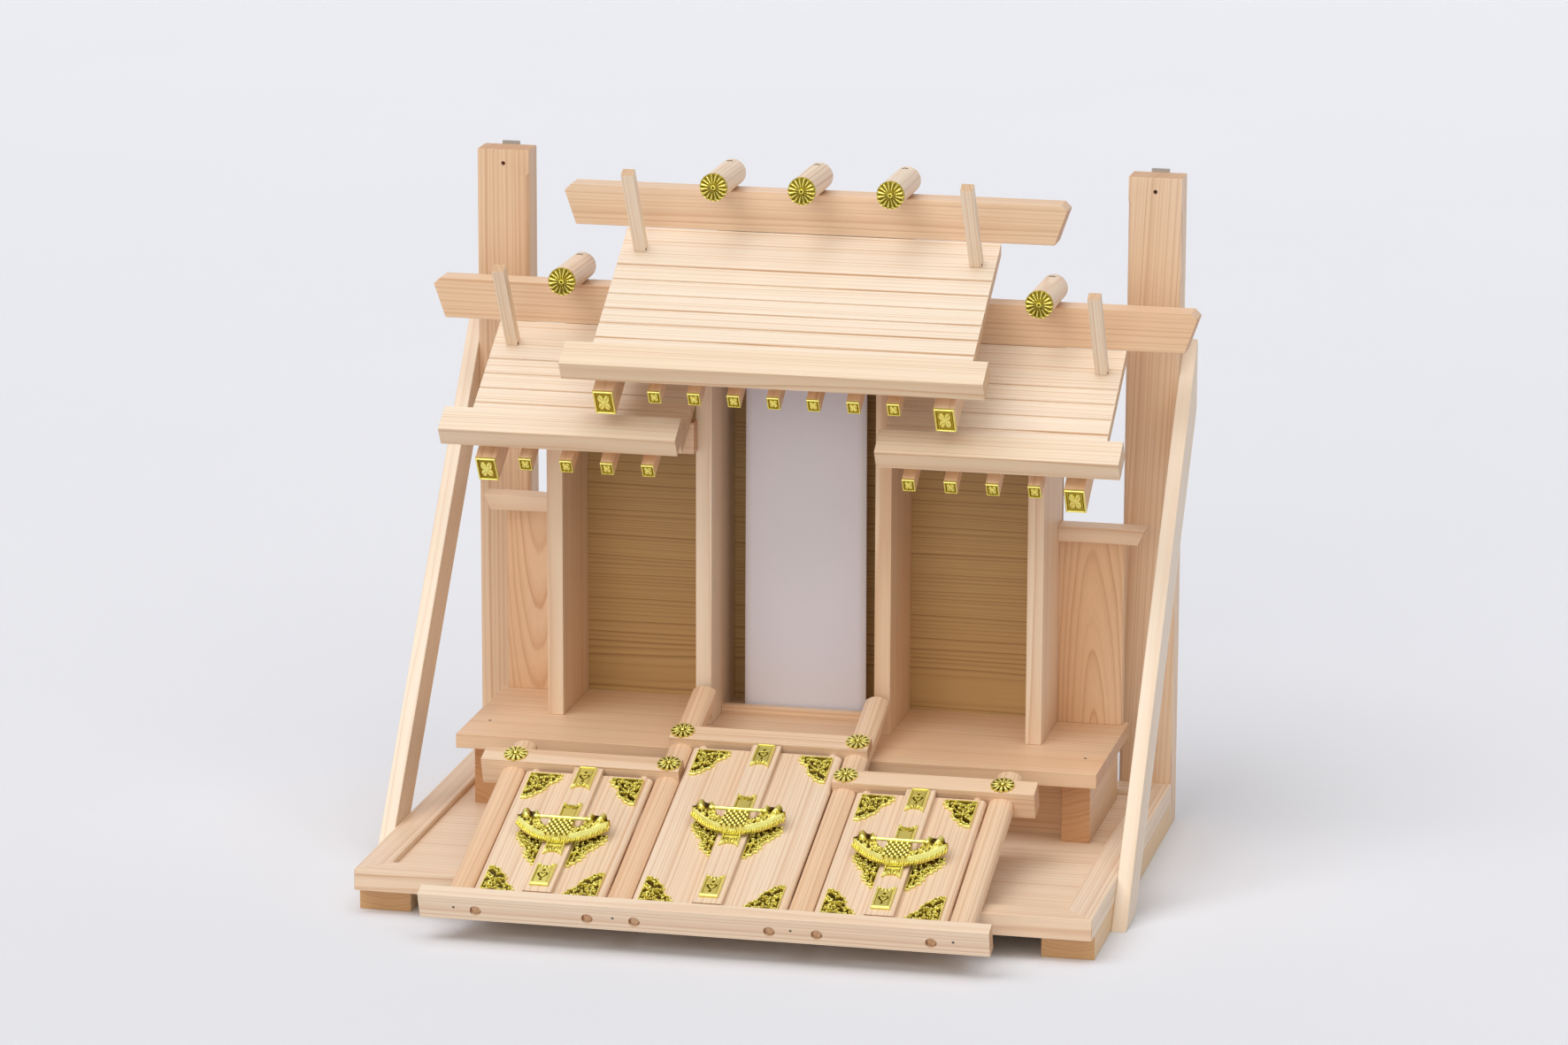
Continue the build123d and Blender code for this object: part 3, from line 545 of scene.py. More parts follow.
def curl(x, y, radius, start, turns, width, steps=14):
    """A stroke that winds inward from an angle on a circle to its eye."""
    line = []
    for i in range(steps + 1):
        t = i / steps
        angle = math.radians(start + 360 * turns * t)
        r = radius * (0.14 + 0.86 * (1 - t) ** 0.8)
        line.append((x + r * math.cos(angle), y + r * math.sin(angle), width * (1 - 0.45 * t)))
    return line


def leaf(x, y, angle, length, width):
    """A stroke that swells and comes to a point."""
    angle = math.radians(angle)
    return [(x + length * t * math.cos(angle), y + length * t * math.sin(angle), width * w)
            for t, w in ((0, 0.35), (0.35, 1.0), (0.7, 0.75), (1.0, 0.05))]


def foliage(outline, pitch, seed):
    """Curls and leaves that fill an outline, as arabesque does."""
    dice = chance(seed)
    outline = np.array(outline)
    low, high = outline.min(0), outline.max(0)
    columns, rows = (np.arange(low[axis], high[axis], 0.3) for axis in (0, 1))
    grid = np.stack(np.meshgrid(columns, rows), -1).reshape(-1, 2)
    grid = grid[inside(grid, outline)]
    grid = grid[to_edge(grid, outline) > pitch * 0.42]
    centres = [grid[0]]
    while True:
        away = np.min([np.linalg.norm(grid - c, axis=1) for c in centres], axis=0)
        if away.max() < pitch:
            break
        centres.append(grid[int(np.argmax(away))])
    lines = []
    for i, (x, y) in enumerate(centres):
        way = 1 if i % 2 else -1
        start = dice.uniform(0, 360)
        lines.append(curl(x, y, pitch * 0.42, start, way * 1.15, 0.4))
        for k in range(3):
            angle = start + 120 * k + dice.uniform(-20, 20)
            radius, turn = pitch * 0.48, math.radians(angle)
            lines.append(leaf(x + radius * math.cos(turn), y + radius * math.sin(turn),
                              angle + 50 * way, pitch * 0.42, 0.55))
    return lines


def soft_step(value, low, high):
    """A smooth rise from 0 to 1 between two values."""
    t = np.clip((value - low) / (high - low), 0, 1)
    return t * t * (3 - 2 * t)


class Gilt:
    """The gilt sheets of one piece, gathered into one mesh."""

    def __init__(self):
        self.verts, self.faces, self.patina_and_painted_light = [], [], []

    def sheet(self, outline, shape, place, mirrored=False, cell=0.34):
        """Add a closed sheet: shape gives height and a value of patina and painted light, place turns x, y
        and height into a point.
        """
        rim = resample(outline, cell)
        low, high = rim.min(0), rim.max(0)
        rows = np.arange(low[1] + cell / 2, high[1], cell * 0.87)
        grid = np.array([(x + (cell / 2 if j % 2 else 0), y) for j, y in enumerate(rows)
                         for x in np.arange(low[0] + cell / 4, high[0], cell)])
        grid = grid[inside(grid, rim)]
        grid = grid[to_edge(grid, rim) > cell * 0.45]
        count = len(rim)
        made = delaunay_2d_cdt([Vector(p) for p in np.concatenate([rim, grid])],
                               [(i, (i + 1) % count) for i in range(count)], [], 1, 1e-6)
        points = np.array([tuple(v) for v in made[0]])
        index = {old: new for new, olds in enumerate(made[3]) for old in olds}
        height, patina_and_painted_light = shape(points, to_edge(points, rim))
        base = len(self.verts)
        self.verts.extend(place(x, y, z) for (x, y), z in zip(points, height))
        self.patina_and_painted_light.extend(patina_and_painted_light)
        foot = len(self.verts)
        self.verts.extend(place(x, y, 0.0) for x, y in rim)
        # The sheet's side walls get a middle value of patina and painted light
        self.patina_and_painted_light.extend([0.55] * count)
        faces = []
        for a, b, c in (tuple(tri) for tri in made[2]):
            (x1, y1), (x2, y2), (x3, y3) = points[a], points[b], points[c]
            turn = (x2 - x1) * (y3 - y1) - (x3 - x1) * (y2 - y1)
            faces.append((base + a, base + b, base + c) if turn > 0 else (base + a, base + c, base + b))
        for i in range(count):
            j = (i + 1) % count
            faces.append((foot + i, foot + j, base + index[j], base + index[i]))
        faces.append(tuple(foot + i for i in reversed(range(count))))
        self.faces.extend(tuple(reversed(face)) if mirrored else face for face in faces)

    def tube(self, path, radii, place, patina_and_painted_light, sides=16):
        """Add a round bar along points, with closed ends."""
        self.faces += tube_faces(len(self.verts), sides, len(path))
        path = [Vector(p) for p in path]
        for i, (p, r) in enumerate(zip(path, radii)):
            way = (path[min(i + 1, len(path) - 1)] - path[max(i - 1, 0)]).normalized()
            side = way.cross(Vector((0, 0, 1)) if abs(way.z) < 0.9 else Vector((0, 1, 0))).normalized()
            up = side.cross(way)
            for k in range(sides):
                a = 2 * math.pi * k / sides
                self.verts.append(place(*(p + r * (math.cos(a) * side + math.sin(a) * up))))
                self.patina_and_painted_light.append(patina_and_painted_light)

    def piece(self, name, node):
        """Make the mesh object and let it stand for its node."""
        obj = make_object(name, in_metres(self.verts), self.faces, GILT, 38, outward=True,
                          fields=[("patina_and_painted_light", "FLOAT", "POINT", self.patina_and_painted_light)])
        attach(obj, body_of_node[node])
        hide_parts(node)


def arabesque(lines):
    """A recessed and dimpled ground, raised foliage and a raised edge."""
    ground, top, border = 0.55, 1.55, 0.7

    def shape(p, d):
        rise = soft_step(strokes(p, lines), -0.05, 0.26)
        edge = soft_step(border - d, 0.0, 0.25)
        lift = np.maximum(rise, edge)
        dimple = 0.5 + 0.5 * np.sin(p[:, 0] * 7.4) * np.sin(p[:, 1] * 7.4)
        height = ground + (top - ground) * lift + 0.08 * dimple * (1 - lift)
        # The raised foliage and edge get a painted highlight, the dimpled ground is painted dark, partly
        # patina and partly painted shade
        return height - 0.35 * soft_step(0.28 - d, 0, 0.28), np.clip(0.02 + 0.98 * lift, 0, 1)
    return shape


def in_door(x0, u0, n0, sx=1, su=1):
    """Place sheet coordinates on the door front, at x0, u0 and so far out."""
    return lambda x, y, z: door_point(x0 + sx * x, u0 + su * y, n0 + z)


# The plates of a leaf's corners and of its inner edge, from their square corner
CORNER = [(0, 24.3), (0, 0)] + lobed([(18.4, 0), (18.8, 3.6), (17.0, 7.2), (14.2, 9.2), (12.4, 11.2),
                                      (12.4, 14.6), (10.6, 17.8), (8.0, 20.0), (6.6, 22.8), (3.4, 24.3)])
WING = [(0, 31.2), (0, 0)] + lobed([(16.2, 0), (16.9, 4.2), (15.8, 8.2), (13.4, 11.4), (11.8, 14.6),
                                    (9.0, 16.8), (9.0, 20.8), (7.6, 24.8), (4.8, 28.2), (2.2, 31.2)])
CORNER_SHAPE = arabesque(foliage(CORNER, 3.7, "corner"))
WING_SHAPE = arabesque(foliage(WING, 3.9, "wing"))
NOTCH = 2.9             # depth of the round notch in a plate's end


def strip_outline(width, length, foot, head):
    """A plate with a round notch at the named ends, its foot at y = 0."""
    half = width / 2
    radius = (half ** 2 + NOTCH ** 2) / (2 * NOTCH)
    reach = math.asin(half / radius) if NOTCH < radius else math.pi / 2
    arc = [(radius * math.sin(a), NOTCH - radius + radius * math.cos(a))
           for a in np.linspace(-reach, reach, 11)]
    low = arc if foot else [(-half, 0), (half, 0)]
    high = [(x, length - y) for x, y in reversed(arc)] if head else [(half, length), (-half, length)]
    return low + high


def tab_shape(length, foot, head, sprig):
    """A framed field with an engraved sprig or two sets of arches, and a small fan at each notch."""
    middle = length / 2 + (NOTCH * 0.4 if foot else 0) - (NOTCH * 0.4 if head else 0)
    cuts = []
    if sprig:
        heart = []
        for t in np.linspace(0, 2 * math.pi, 33):
            rise = 0.81 * math.cos(t) - 0.31 * math.cos(2 * t) - 0.13 * math.cos(3 * t)
            heart.append((2.4 * math.sin(t) ** 3, middle - 0.3 + 2.7 * rise, 0.5))
        cuts = [heart, leaf(0, middle + 2.9, 90, 2.4, 0.8), leaf(0, middle - 3.6, -90, 2.2, 0.8)]
    else:
        for side in (-1, 1):
            for reach in (2.0, 3.2, 4.4):
                end = length if side > 0 else 0
                cuts.append([(reach * math.cos(a), end - side * 7.5 + side * 0.8 * reach * math.sin(a), 0.34)
                             for a in np.linspace(0.35, math.pi - 0.35, 9)])

    def shape(p, d):
        frame_rise = soft_step(1.25 - d, 0, 0.25)
        deep = strokes(p, cuts)
        lift = 1.5 - 0.7 * soft_step(deep, -0.05, 0.2) + 0.6 * frame_rise
        # Engraved cuts and a band just inside the frame are painted dark as shade, the raised frame and the
        # fans' flutes get a painted highlight
        patina_and_painted_light = 0.86 - 0.86 * soft_step(deep, -0.1, 0.1) - 0.5 * soft_step(1.75 - d, 0, 0.2)
        patina_and_painted_light = np.clip(patina_and_painted_light + 0.64 * frame_rise, 0, 1)
        for wanted, end, way in ((foot, 0.0, 1), (head, length, -1)):
            if wanted:
                y = (p[:, 1] - end) * way - NOTCH
                r = np.hypot(p[:, 0], y + 1.2)
                fan = soft_step(3.4 - r, 0, 0.3) * (y > -1.5)
                angle = np.arctan2(p[:, 0], y + 1.2)
                flute = 0.5 + 0.5 * np.cos(angle * 9)
                lift = np.where(fan > 0.5, 1.3 + 0.7 * flute, lift)
                patina_and_painted_light = np.where(fan > 0.5, 0.25 + 0.75 * flute, patina_and_painted_light)
        return lift - 0.9 * soft_step(0.55 - d, 0, 0.55), patina_and_painted_light
    return shape


# The bow of a lock: half its width, how deep it hangs, how far its lower edge rises to the ends,
# how sharply that edge bends, and how steep it is there
LOCK_HALF, LOCK_DROP, LOCK_RISE, LOCK_BEND, LOCK_SLOPE = 26.0, 16.0, 15.2, 2.1, 1.23


def lock_edge(x):
    """The height of the bow's lower edge at a distance from its middle."""
    return -LOCK_DROP + LOCK_RISE * np.clip(np.abs(x) / LOCK_HALF, 0, 1) ** LOCK_BEND


def lock_outline():
    """The bow's outline, seen from the front, about the middle of the lock."""
    belly = [(x, lock_edge(x)) for x in np.linspace(-LOCK_HALF, LOCK_HALF, 41)]
    horn = lobed([(25.9, -0.8), (25.6, 3.4), (23.2, 6.8), (20.6, 9.6), (17.6, 7.6), (14.4, 6.2)], 0.12, 4)
    horn = horn[1:] + [(13.2, 4.4)]
    inner = [(12.4, 2.4), (10.8, -0.8), (8.6, -2.8), (6.9, -3.2), (6.6, 2.6)]
    inner += [(-x, y) for x, y in reversed(inner)]
    return belly + horn + inner + [(-x, y) for x, y in reversed(horn)]


LOCK_VEINS = foliage(lock_outline(), 2.9, "lock")


def lock_shape(p, d):
    """A beaded flange, a swelling rim with a painted highlight, chased foliage and leafy horns, brighter on
    their crests as painted highlight and darker in their hollows, partly patina and partly painted shade.
    """
    x, y = p[:, 0], p[:, 1]
    slope = LOCK_SLOPE * np.clip(np.abs(x) / LOCK_HALF, 0, 1) ** (LOCK_BEND - 1)
    e = (y - lock_edge(x)) / np.sqrt(1 + slope ** 2)
    beads = np.abs(np.sin(x * math.pi / 1.3))
    flange = e < 1.9
    rise = np.sin(np.clip((e - 1.9) / 1.3, 0, 1) * math.pi / 2)
    height = np.where(flange, 0.9 + 0.6 * beads, 1.7 + 2.6 * rise)
    height -= 1.3 * soft_step(e, 5.0, 10.0)
    # Beads, rim, chased crests, lattice and horn folds get a painted highlight; their hollows are painted
    # dark, partly patina and partly painted shade
    patina_and_painted_light = np.where(flange, 0.1 + 0.9 * beads, 1.0)
    chased = soft_step(e, 3.0, 3.4)
    lift = soft_step(strokes(p, LOCK_VEINS), -0.05, 0.25)
    height += chased * (0.8 * lift - 0.6)
    patina_and_painted_light = np.where(chased > 0.5, 0.05 + 0.95 * lift, patina_and_painted_light)
    lattice = np.abs(np.sin((x + 0.7 * y) * 1.05)) * np.abs(np.sin((x - 0.7 * y) * 1.05))
    middle = soft_step(7.0 - np.abs(x), 0, 0.5) * soft_step(e, 1.9, 2.5)
    height = height * (1 - middle) + middle * (3.9 + 1.0 * lattice)
    patina_and_painted_light = np.where(middle > 0.5, 0.05 + 0.95 * soft_step(lattice, 0.2, 0.6), patina_and_painted_light)
    horn = soft_step(np.abs(x), 12.5, 15.0) * soft_step(y, 0.0, 3.0)
    fold = np.cos((np.abs(x) - 13.2) * 0.95 - y * 0.25)
    height = height * (1 - horn) + horn * (4.6 + 1.1 * fold)
    patina_and_painted_light = patina_and_painted_light * (1 - horn) + horn * (0.4 + 0.55 * fold)
    return height - 1.1 * soft_step(0.5 - d, 0, 0.5) * (e > 1.6), np.clip(patina_and_painted_light, 0, 1)


def flower_cap(width, height, end):
    """A box cap's front: a frame, a cut ground and a four-petal flower."""
    rim = 1.0 if end else 0.75

    def shape(p, d):
        across, up = p[:, 0] / (width / 2 - rim), p[:, 1] / (height / 2 - rim)
        r, angle = np.hypot(across, up), np.arctan2(up, across)
        petal = soft_step(0.34 + 0.6 * np.abs(np.sin(2 * angle)) ** 0.7 - r, 0, 0.12)
        slit = soft_step(np.abs(np.sin(2 * angle)), 0.12, 0.3)
        vein = soft_step(np.abs(np.cos(2 * angle)), 0.08, 0.22)
        boss = soft_step(0.24 - r, 0, 0.08)
        edge = soft_step(rim - d, 0, 0.15)
        hatch = 0.5 + 0.5 * np.cos(p[:, 0] * 2 * math.pi / 0.95)
        lift = np.maximum(petal * slit * (0.45 + 0.55 * vein), np.maximum(edge, boss))
        ground = hatch * (1 - lift)
        tall = 0.7 + 0.75 * lift + 0.3 * ground + 0.2 * boss
        # Raised petals, frame and boss, and the ridges of the hatched ground, get a painted highlight; the
        # cut ground between is painted dark, partly patina and partly painted shade
        return tall - 0.3 * soft_step(0.25 - d, 0, 0.25), np.clip(0.1 + 0.85 * lift + 0.5 * ground, 0, 1)
    return shape


def rosette_outline(radius, petals, notch):
    """The outline of a ring of round petals."""
    found = []
    for i in range(petals * 8):
        a = 2 * math.pi * i / (petals * 8)
        r = radius * (notch + (1 - notch) * abs(math.cos(petals * a / 2)) ** 0.5)
        found.append((r * math.cos(a), r * math.sin(a)))
    return found


def domed_rosette(radius, petals):
    """Swelling petals that bend down at the rim, parted by slits painted dark as shade, round a nail head
    with a painted highlight.
    """
    nail = 1.25

    def shape(p, d):
        r = np.hypot(p[:, 0], p[:, 1]) / radius
        swell = np.abs(np.cos(petals * np.arctan2(p[:, 1], p[:, 0]) / 2))
        slit = soft_step(swell, 0.45, 0.8) * soft_step(r, 0.2, 0.36)
        height = 0.3 + (1.7 - 1.3 * r ** 2.5) * (0.12 + 0.88 * slit)
        head = soft_step(nail - r * radius, 0, 0.5)
        dome = 1.3 + 0.9 * np.sqrt(np.clip(1 - (r * radius / nail) ** 2, 0, 1)) * (head > 0)
        return np.maximum(height, dome), np.clip(0.05 + 0.95 * np.maximum(slit, head), 0, 1)
    return shape


def fluted_rosette(radius, petals):
    """Hollow flutes whose round-tipped edges get a painted highlight and whose gaps are painted dark as
    shade, rising to a boss with a painted highlight and a small darker nail.
    """
    def shape(p, d):
        r = np.hypot(p[:, 0], p[:, 1])
        angle = np.arctan2(p[:, 1], p[:, 0])
        step = 2 * math.pi / petals
        off = (angle + step / 2) % step - step / 2
        centre = radius * 0.86
        tip = radius * 0.125
        along = r * np.cos(off)
        side = np.abs(r * np.sin(off))
        half = np.where(along < centre, np.maximum(along, 0.2) * math.tan(step / 2) * 0.92, tip)
        rest = np.where(along < centre, side, np.hypot(along - centre, side))
        hollow = np.clip(rest / half, 0, 1.3)
        height = 0.5 + 1.2 * (1 - r / radius) + 0.6 * np.minimum(hollow, 1) ** 2 - 0.8 * (hollow > 1.08)
        patina_and_painted_light = 0.1 + 0.9 * soft_step(np.minimum(hollow, 1), 0.55, 0.95) - 0.75 * (hollow > 1.08)
        boss = soft_step(1.5 - r, 0, 0.2)
        nail = soft_step(0.75 - r, 0, 0.15)
        return height + 0.3 * boss + 0.3 * nail, np.clip(np.maximum(patina_and_painted_light, 0.9 * boss) - nail, 0, 1)
    return shape


def extent(part, axes):
    """Lowest and highest reach of a solid along some axes, in millimetres."""
    co = np.array([v.co for v in part.verts]) / MM
    reach = co @ np.array([tuple(axis) for axis in axes]).T
    return reach.min(0), reach.max(0)


def facing(part, way):
    """The normal of the largest face that looks roughly one way."""
    faces = [f for f in part.faces if f.normal.dot(Vector(way)) > 0.5]
    return max(faces, key=lambda f: f.calc_area()).normal.copy()


def on_plane(part, normal):
    """Place sheet coordinates on the middle of a solid's back, its height along a normal."""
    across = Vector((1, 0, 0))
    up = Vector(normal).cross(across)
    low, high = extent(part, (across, up, normal))
    middle = (low + high) / 2

    def place(x, y, z):
        on_sheet = float(middle[0] + x) * across + float(middle[1] + y) * up
        return on_sheet + float(low[2] + z) * Vector(normal)
    return place, high - low


DOOR_AXES = (Vector((1, 0, 0)), UP_DOOR, OUT_DOOR)
door_origin = np.array([Vector((0, tray_front, tray_top)).dot(axis) for axis in DOOR_AXES])

# Sizes that tell the plates of a leaf apart
LOCK_WIDER, TAB_NARROWER, WING_LONGER = 40, 12, 28
LOCK_PLATE = 10.2       # width of the plate behind a lock
BOW_LIFT = 1.9          # of the bow over that plate
BAR_Y, BAR_Z = 2.0, 4.4     # the middle of the bar through the bow
BAR_HALF, BAR_RADIUS = 15.5, 1.0
WING_DROP = 1.2         # of a wing plate's outline below its solid's top


def dress_fittings(node):
    """The gilt plates of one leaf, with the strip's plates and the lock on the left one."""
    gilt = Gilt()
    left = "_left_leaf" in node
    found = []
    for part in solids(node):
        low, high = extent(part, DOOR_AXES)
        found.append((low - door_origin, high - door_origin))
    middle = (min(low[1] for low, _ in found) + max(high[1] for _, high in found)) / 2
    for low, high in found:
        width, length, _ = high - low
        top = (low[1] + high[1]) / 2 > middle
        centre = (low[0] + high[0]) / 2
        if width > LOCK_WIDER:
            gilt.sheet(strip_outline(LOCK_PLATE, length, True, True), tab_shape(length, True, True, False),
                       in_door(centre, low[1], low[2]))
            bow = in_door(centre, (low[1] + high[1]) / 2, low[2] + BOW_LIFT)
            gilt.sheet(lock_outline(), lock_shape, bow, cell=0.4)
            bar = [(x, BAR_Y, BAR_Z) for x in np.linspace(-BAR_HALF, BAR_HALF, 9)]
            # The bar gets the full painted highlight, its collars a middle value
            gilt.tube(bar, [BAR_RADIUS] * len(bar), bow, 1.0)
            for side in (-1, 1):
                collar = [(side * x, BAR_Y, BAR_Z) for x in (12.6, 12.9, 13.6, 13.9)]
                gilt.tube(collar, [1.15, 1.5, 1.5, 1.15], bow, 0.6)
        elif width < TAB_NARROWER:
            gilt.sheet(strip_outline(width, length, top, not top), tab_shape(length, top, not top, True),
                       in_door(centre, low[1], low[2]))
        elif length > WING_LONGER:
            x, sx = (high[0], -1) if left else (low[0], 1)
            gilt.sheet(WING, WING_SHAPE, in_door(x, high[1] - WING_DROP, low[2], sx, -1), sx > 0)
        else:
            x, sx = (low[0], 1) if left else (high[0], -1)
            u, su = (high[1], -1) if top else (low[1], 1)
            gilt.sheet(CORNER, CORNER_SHAPE, in_door(x, u, low[2], sx, su), sx * su < 0)
    gilt.piece(f"{node}_gilt", node)


END_CAP_WIDER = 9       # the caps at an eave's ends have a broader frame


def dress_caps():
    """The box caps on the rafters' ends."""
    gilt = Gilt()
    for part in solids("rafter_caps"):
        place, size = on_plane(part, facing(part, (0, -1, -0.4)))
        w, h = size[0] / 2, size[1] / 2
        front = flower_cap(size[0], size[1], size[0] > END_CAP_WIDER)
        gilt.sheet([(-w, -h), (w, -h), (w, h), (-w, h)], front, place, cell=0.24)
    gilt.piece("rafter_caps_gilt", "rafter_caps")


LOG_ROSETTE = (7.9, 16)     # radius and petals
HEAD_ROSETTE = (6.6, 12)
LOG_ROSETTE_WIDER = 14


def dress_rosettes():
    """The fluted rosettes of the logs and the domed ones of the heads."""
    gilt = Gilt()
    for part in solids("gilt_rosettes"):
        low, high = extent(part, ((1, 0, 0),))
        if high[0] - low[0] > LOG_ROSETTE_WIDER:
            place, _ = on_plane(part, Vector((0, -1, 0)))
            gilt.sheet(rosette_outline(*LOG_ROSETTE, 0.95), fluted_rosette(*LOG_ROSETTE), place, cell=0.26)
        else:
            place, _ = on_plane(part, OUT_DOOR)
            gilt.sheet(rosette_outline(*HEAD_ROSETTE, 0.78), domed_rosette(*HEAD_ROSETTE), place, cell=0.24)
    gilt.piece("gilt_rosettes_gilt", "gilt_rosettes")


for node in list(nodes):
    if node.endswith("_fittings"):
        dress_fittings(node)
dress_caps()
dress_rosettes()


# Folded paper

def fold_talisman():
    """A paper folded round a thin board: soft long edges, a face that swells and a flap behind."""
    low, high = (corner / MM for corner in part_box("paper_talisman"))
    half, thick, tall = (high.x - low.x) / 2, high.y - low.y, high.z - low.z
    rows, columns, verts = 41, 33, []
    dice = chance("paper")
    ripple = [(dice.uniform(0.02, 0.09), dice.uniform(0.5, 2.2), dice.uniform(0, 6.28)) for _ in range(5)]
    # One ring of the packet: how deep its front lies across the width, then the flap behind
    front = []
    for i in range(columns):
        x = -1 + 2 * i / (columns - 1)
        front.append((x, 0.16 * abs(x) ** 3 + 0.3 * max(0.0, abs(x) - 0.965) / 0.035))
    flap = ((1.0, 0.72), (0.985, 0.96), (0.08, 1.0), (0.0, 0.93), (-0.985, 0.96), (-1.0, 0.72))
    for j in range(rows):
        t = j / (rows - 1)
        taper = 0.985 + 0.015 * (1 - t)
        for x, back in front:
            dent = sum(a * math.sin(4 * f * t + g + 2.2 * x) for a, f, g in ripple)
            verts.append((x * half * taper, low.y + 0.45 + 0.9 * (back * thick + dent), low.z + t * tall))
        for x, y in flap:
            verts.append((x * half * taper, low.y + y * thick, low.z + t * tall))
    faces = tube_faces(0, len(front) + len(flap), rows)
    obj = make_object("talisman_paper", in_metres(verts), faces, PAPER, 40)
    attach(obj, body_of_node["paper_talisman"])
    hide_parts("paper_talisman")


fold_talisman()


# Nails and staples

def small_metal(name, verts, faces, material, body="altar"):
    """Make a small fastener piece that rides on a body."""
    obj = make_object(name, in_metres(verts), faces, material, 50, outward=True)
    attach(obj, body)


def circle(radius, side, up, sides):
    """Offsets round a circle, in the plane of two unit ways."""
    return [radius * (math.cos(a) * side + math.sin(a) * up)
            for a in np.linspace(0, 2 * math.pi, sides, endpoint=False)]


def domes(places, radius, height, sides=14):
    """Low round nail heads, each at a place with its own outward way."""
    verts, faces = [], []
    for place, way in places:
        way = Vector(way).normalized()
        side = way.orthogonal().normalized()
        up = way.cross(side)
        base = len(verts)
        for r, h in ((1.0, 0.0), (0.92, 0.6), (0.6, 0.92)):
            verts += [Vector(place) + offset + way * height * h
                      for offset in circle(radius * r, side, up, sides)]
        verts.append(Vector(place) + way * height)
        faces += tube_faces(base, sides, 3)[:-1]
        top = base + 2 * sides
        faces += [(top + i, top + (i + 1) % sides, top + sides) for i in range(sides)]
    return verts, faces


STAPLE_BACK = 7.0       # from a staple to its log's rear end
STAPLE_RADIUS = 0.36    # of its wire
# A staple's way over its log: angle from the top, and height over the log's face
STAPLE_PATH = ((-0.2, -0.8), (-0.2, 0.1), (-0.1, 0.12), (0.0, 0.12), (0.1, 0.12), (0.2, 0.1), (0.2, -0.8))


def add_nails():
    """The nail heads of the sill rail, the floor and the finials, and a staple on each log."""
    sill = [(door_point(x, RAIL_FOOT, 7.2), -UP_DOOR) for x in (-134.0, -47.7, 47.7, 134.0)]
    small_metal("sill_nails", *domes(sill, 0.75, 0.12), NAIL)
    floor = [((x, tray_front + 160, floor_top), (0, 0, 1)) for x in (-168.0, 168.0)]
    small_metal("floor_nails", *domes(floor, 1.0, 0.2), NAIL)
    finial = []
    for part in solids("roof_finials"):
        co = np.array([v.co for v in part.verts]) / MM
        foot = co[co[:, 2] < co[:, 2].min() + 3].mean(0)
        finial.append(((co[:, 0].max(), foot[1], foot[2] + 1.5), (1, 0, 0)))
    small_metal("finial_nails", *domes(finial, 0.9, 0.15), DARK)
    verts, faces, sides = [], [], 8
    back_way = Vector((0, 1, 0))
    for part in solids("ridge_logs"):
        (left, _, _), (right, back, high) = extent(part, ((1, 0, 0), (0, 1, 0), (0, 0, 1)))
        middle, radius = (left + right) / 2, (right - left) / 2
        path = [Vector((middle + (radius + h) * math.sin(a), back - STAPLE_BACK,
                        high - radius + (radius + h) * math.cos(a))) for a, h in STAPLE_PATH]
        faces += tube_faces(len(verts), sides, len(path))
        for i, p in enumerate(path):
            way = (path[min(i + 1, len(path) - 1)] - path[max(i - 1, 0)]).normalized()
            verts += [p + offset for offset in circle(STAPLE_RADIUS, back_way, back_way.cross(way), sides)]
    small_metal("log_staples", verts, faces, NAIL)


add_nails()

# What the scene doesn't replace keeps its own mesh
dressed = set(BOARDS) | {"rafter_caps", "gilt_rosettes", "paper_talisman"}
dressed |= {name for name in nodes if name.endswith("_fittings")}
for name, obj in nodes.items():
    if name not in dressed:
        obj.data.materials.clear()
        obj.data.materials.append(FINISHES[slot_of_node[name]])


# Stage, light and camera

def stage_material():
    """A pale matt sweep that shows its own colour and keeps the soft shadow."""
    material = bpy.data.materials.new("pale_sweep")
    t = Tree(material)
    place = t.add("ShaderNodeTexCoord").outputs["Object"]
    cloud = t.noise(place, 3.0, 2.0)
    tint = t.mix(cloud, (*linear(231, 232, 238), 1), (*linear(234, 235, 240), 1))
    shader = t.add("ShaderNodeBsdfDiffuse", {"Color": tint})
    t.add("ShaderNodeOutputMaterial", {0: shader.outputs[0]})
    return material


def sweep():
    """A floor that curves up into a backdrop."""
    profile = [(-7.0, 0.0)] + [(6.0 + 1.5 * math.sin(a), 1.5 - 1.5 * math.cos(a))
                               for a in np.linspace(0, math.pi / 2, 24)] + [(7.5, 9.0)]
    verts = [(x, y, z) for y, z in profile for x in (-9.0, 9.0)]
    faces = [(2 * i, 2 * i + 1, 2 * i + 3, 2 * i + 2) for i in range(len(profile) - 1)]
    obj = make_object("sweep", verts, faces, stage_material())


def sun_light(name, toward, angle, strength, colour):
    """A wide soft lamp, far away, that lights the floor evenly."""
    lamp = bpy.data.lights.new(name, "SUN")
    lamp.angle = math.radians(angle)
    lamp.energy = strength
    lamp.color = colour
    obj = bpy.data.objects.new(name, lamp)
    obj.location = Vector(toward) * 3.0
    obj.rotation_euler = (-Vector(toward)).to_track_quat("-Z", "Y").to_euler()
    bpy.context.scene.collection.objects.link(obj)


# The photograph's viewpoint: its place from the tray's front in millimetres, its azimuth, elevation
# and roll in degrees, and the focal length and width in picture points
EYE = (706.0, -3015.6, 988.6)
LOOK = (12.546, 13.812, 0.186)
FOCAL, PICTURE_WIDTH = 6932.4, 1772


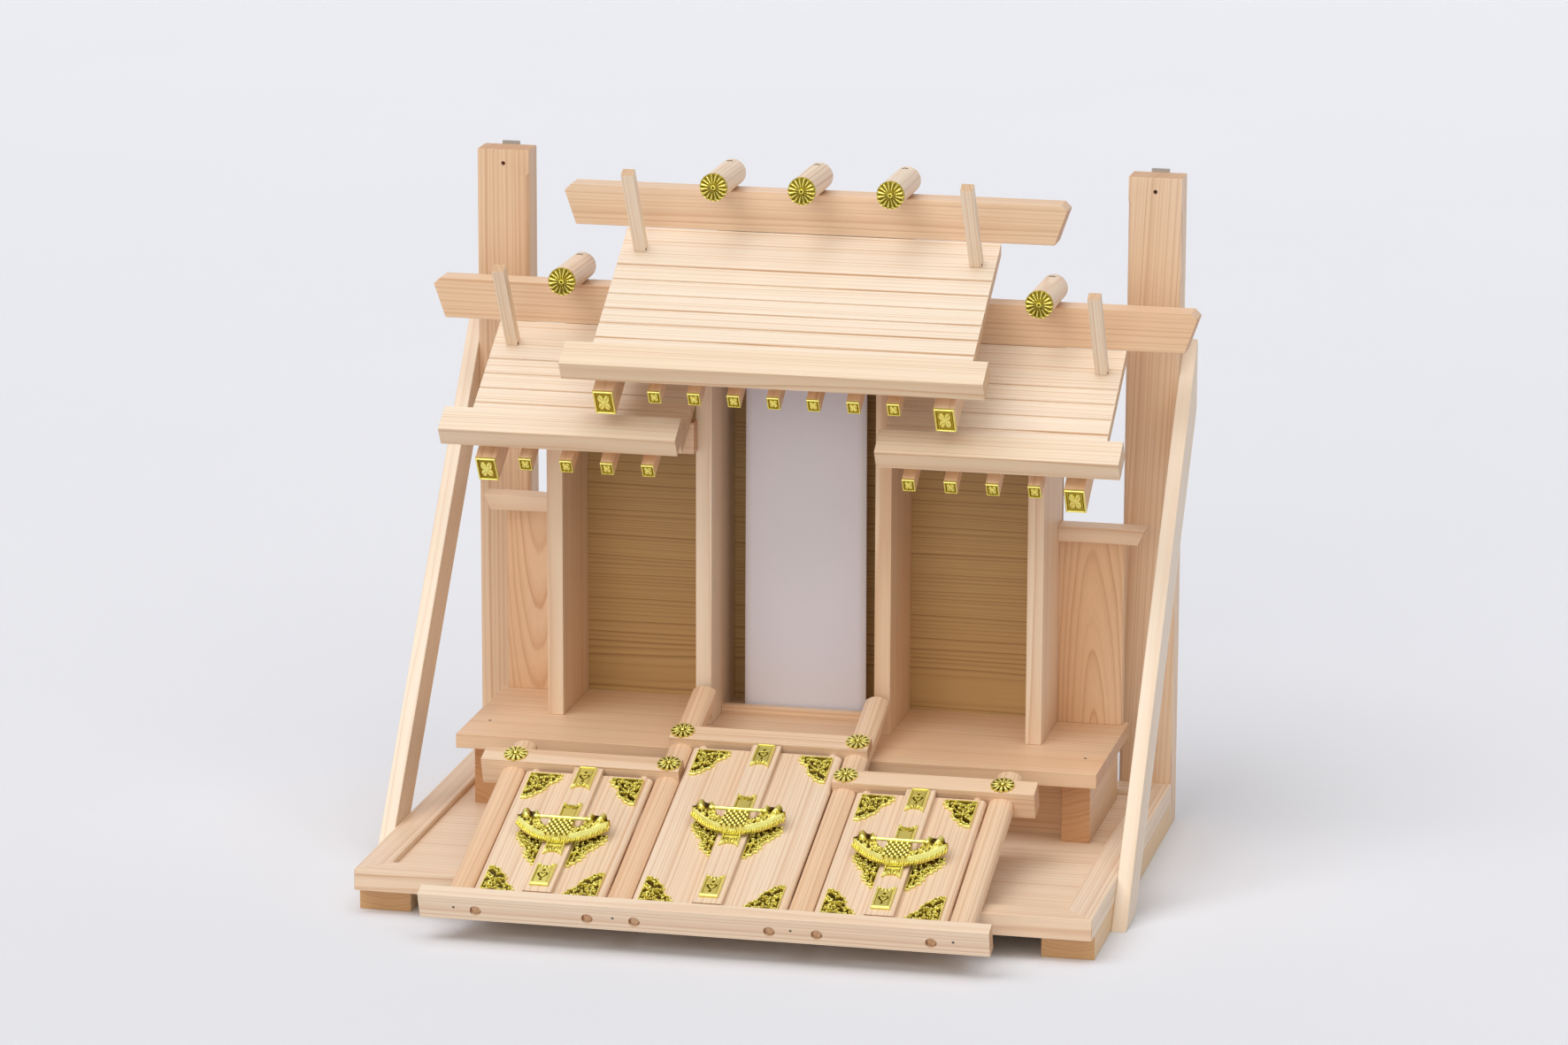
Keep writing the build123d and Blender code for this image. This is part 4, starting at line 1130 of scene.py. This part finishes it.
def camera():
    """The photograph's own viewpoint."""
    azimuth, elevation, roll = (math.radians(v) for v in LOOK)
    forward = Vector((-math.sin(azimuth) * math.cos(elevation), math.cos(azimuth) * math.cos(elevation),
                      -math.sin(elevation)))
    right = Vector((math.cos(azimuth), math.sin(azimuth), 0))
    up = right.cross(forward)
    c, s = math.cos(roll), math.sin(roll)
    right, up = c * right + s * up, -s * right + c * up
    data = bpy.data.cameras.new("camera")
    data.sensor_width = 36.0
    data.lens = FOCAL / PICTURE_WIDTH * data.sensor_width
    data.clip_end = 50.0
    obj = bpy.data.objects.new("camera", data)
    bpy.context.scene.collection.objects.link(obj)
    place = Vector((EYE[0] * MM, (tray_front + EYE[1]) * MM, EYE[2] * MM))
    axes = Matrix((right, up, -forward)).transposed().to_4x4()
    obj.matrix_world = Matrix.Translation(place) @ axes
    bpy.context.scene.camera = obj


sweep()
world = bpy.data.worlds.new("studio")
bpy.context.scene.world = world
sky = Tree(world)
# The sky fills shadows at one strength, and shows soft boxes only to the eye and to shiny surfaces
FILL = 0.22
ray = sky.add("ShaderNodeLightPath").outputs
seen = sky.math("MAXIMUM", ray["Is Camera Ray"], ray["Is Glossy Ray"])
seen = sky.math("MAXIMUM", seen, ray["Is Transmission Ray"])
way = sky.add("ShaderNodeTexCoord").outputs["Generated"]
boxes = sky.noise(way, 2.6, 0.0)
studio = sky.ramp(boxes, [(0.42, 0.42), (0.55, 1.0)])
strength = sky.math("MULTIPLY_ADD", seen, sky.math("SUBTRACT", studio, FILL), FILL)
back = sky.add("ShaderNodeBackground", {"Color": (0.95, 0.97, 1.0, 1), "Strength": strength})
sky.add("ShaderNodeOutputWorld", {0: back.outputs[0]})
sun_light("left_key", (-0.45, -0.5, 1.0), 42, 1.22, (1.0, 0.99, 0.99))
sun_light("top", (0.1, -0.05, 1.0), 50, 0.76, (0.94, 0.96, 1.0))
sun_light("right_key", (0.6, -0.6, 0.9), 42, 0.42, (1.0, 0.94, 0.82))
sun_light("front", (-0.1, -1.0, 0.35), 40, 0.62, (1.0, 0.94, 0.78))
camera()
bpy.context.scene.view_settings.view_transform = "Standard"
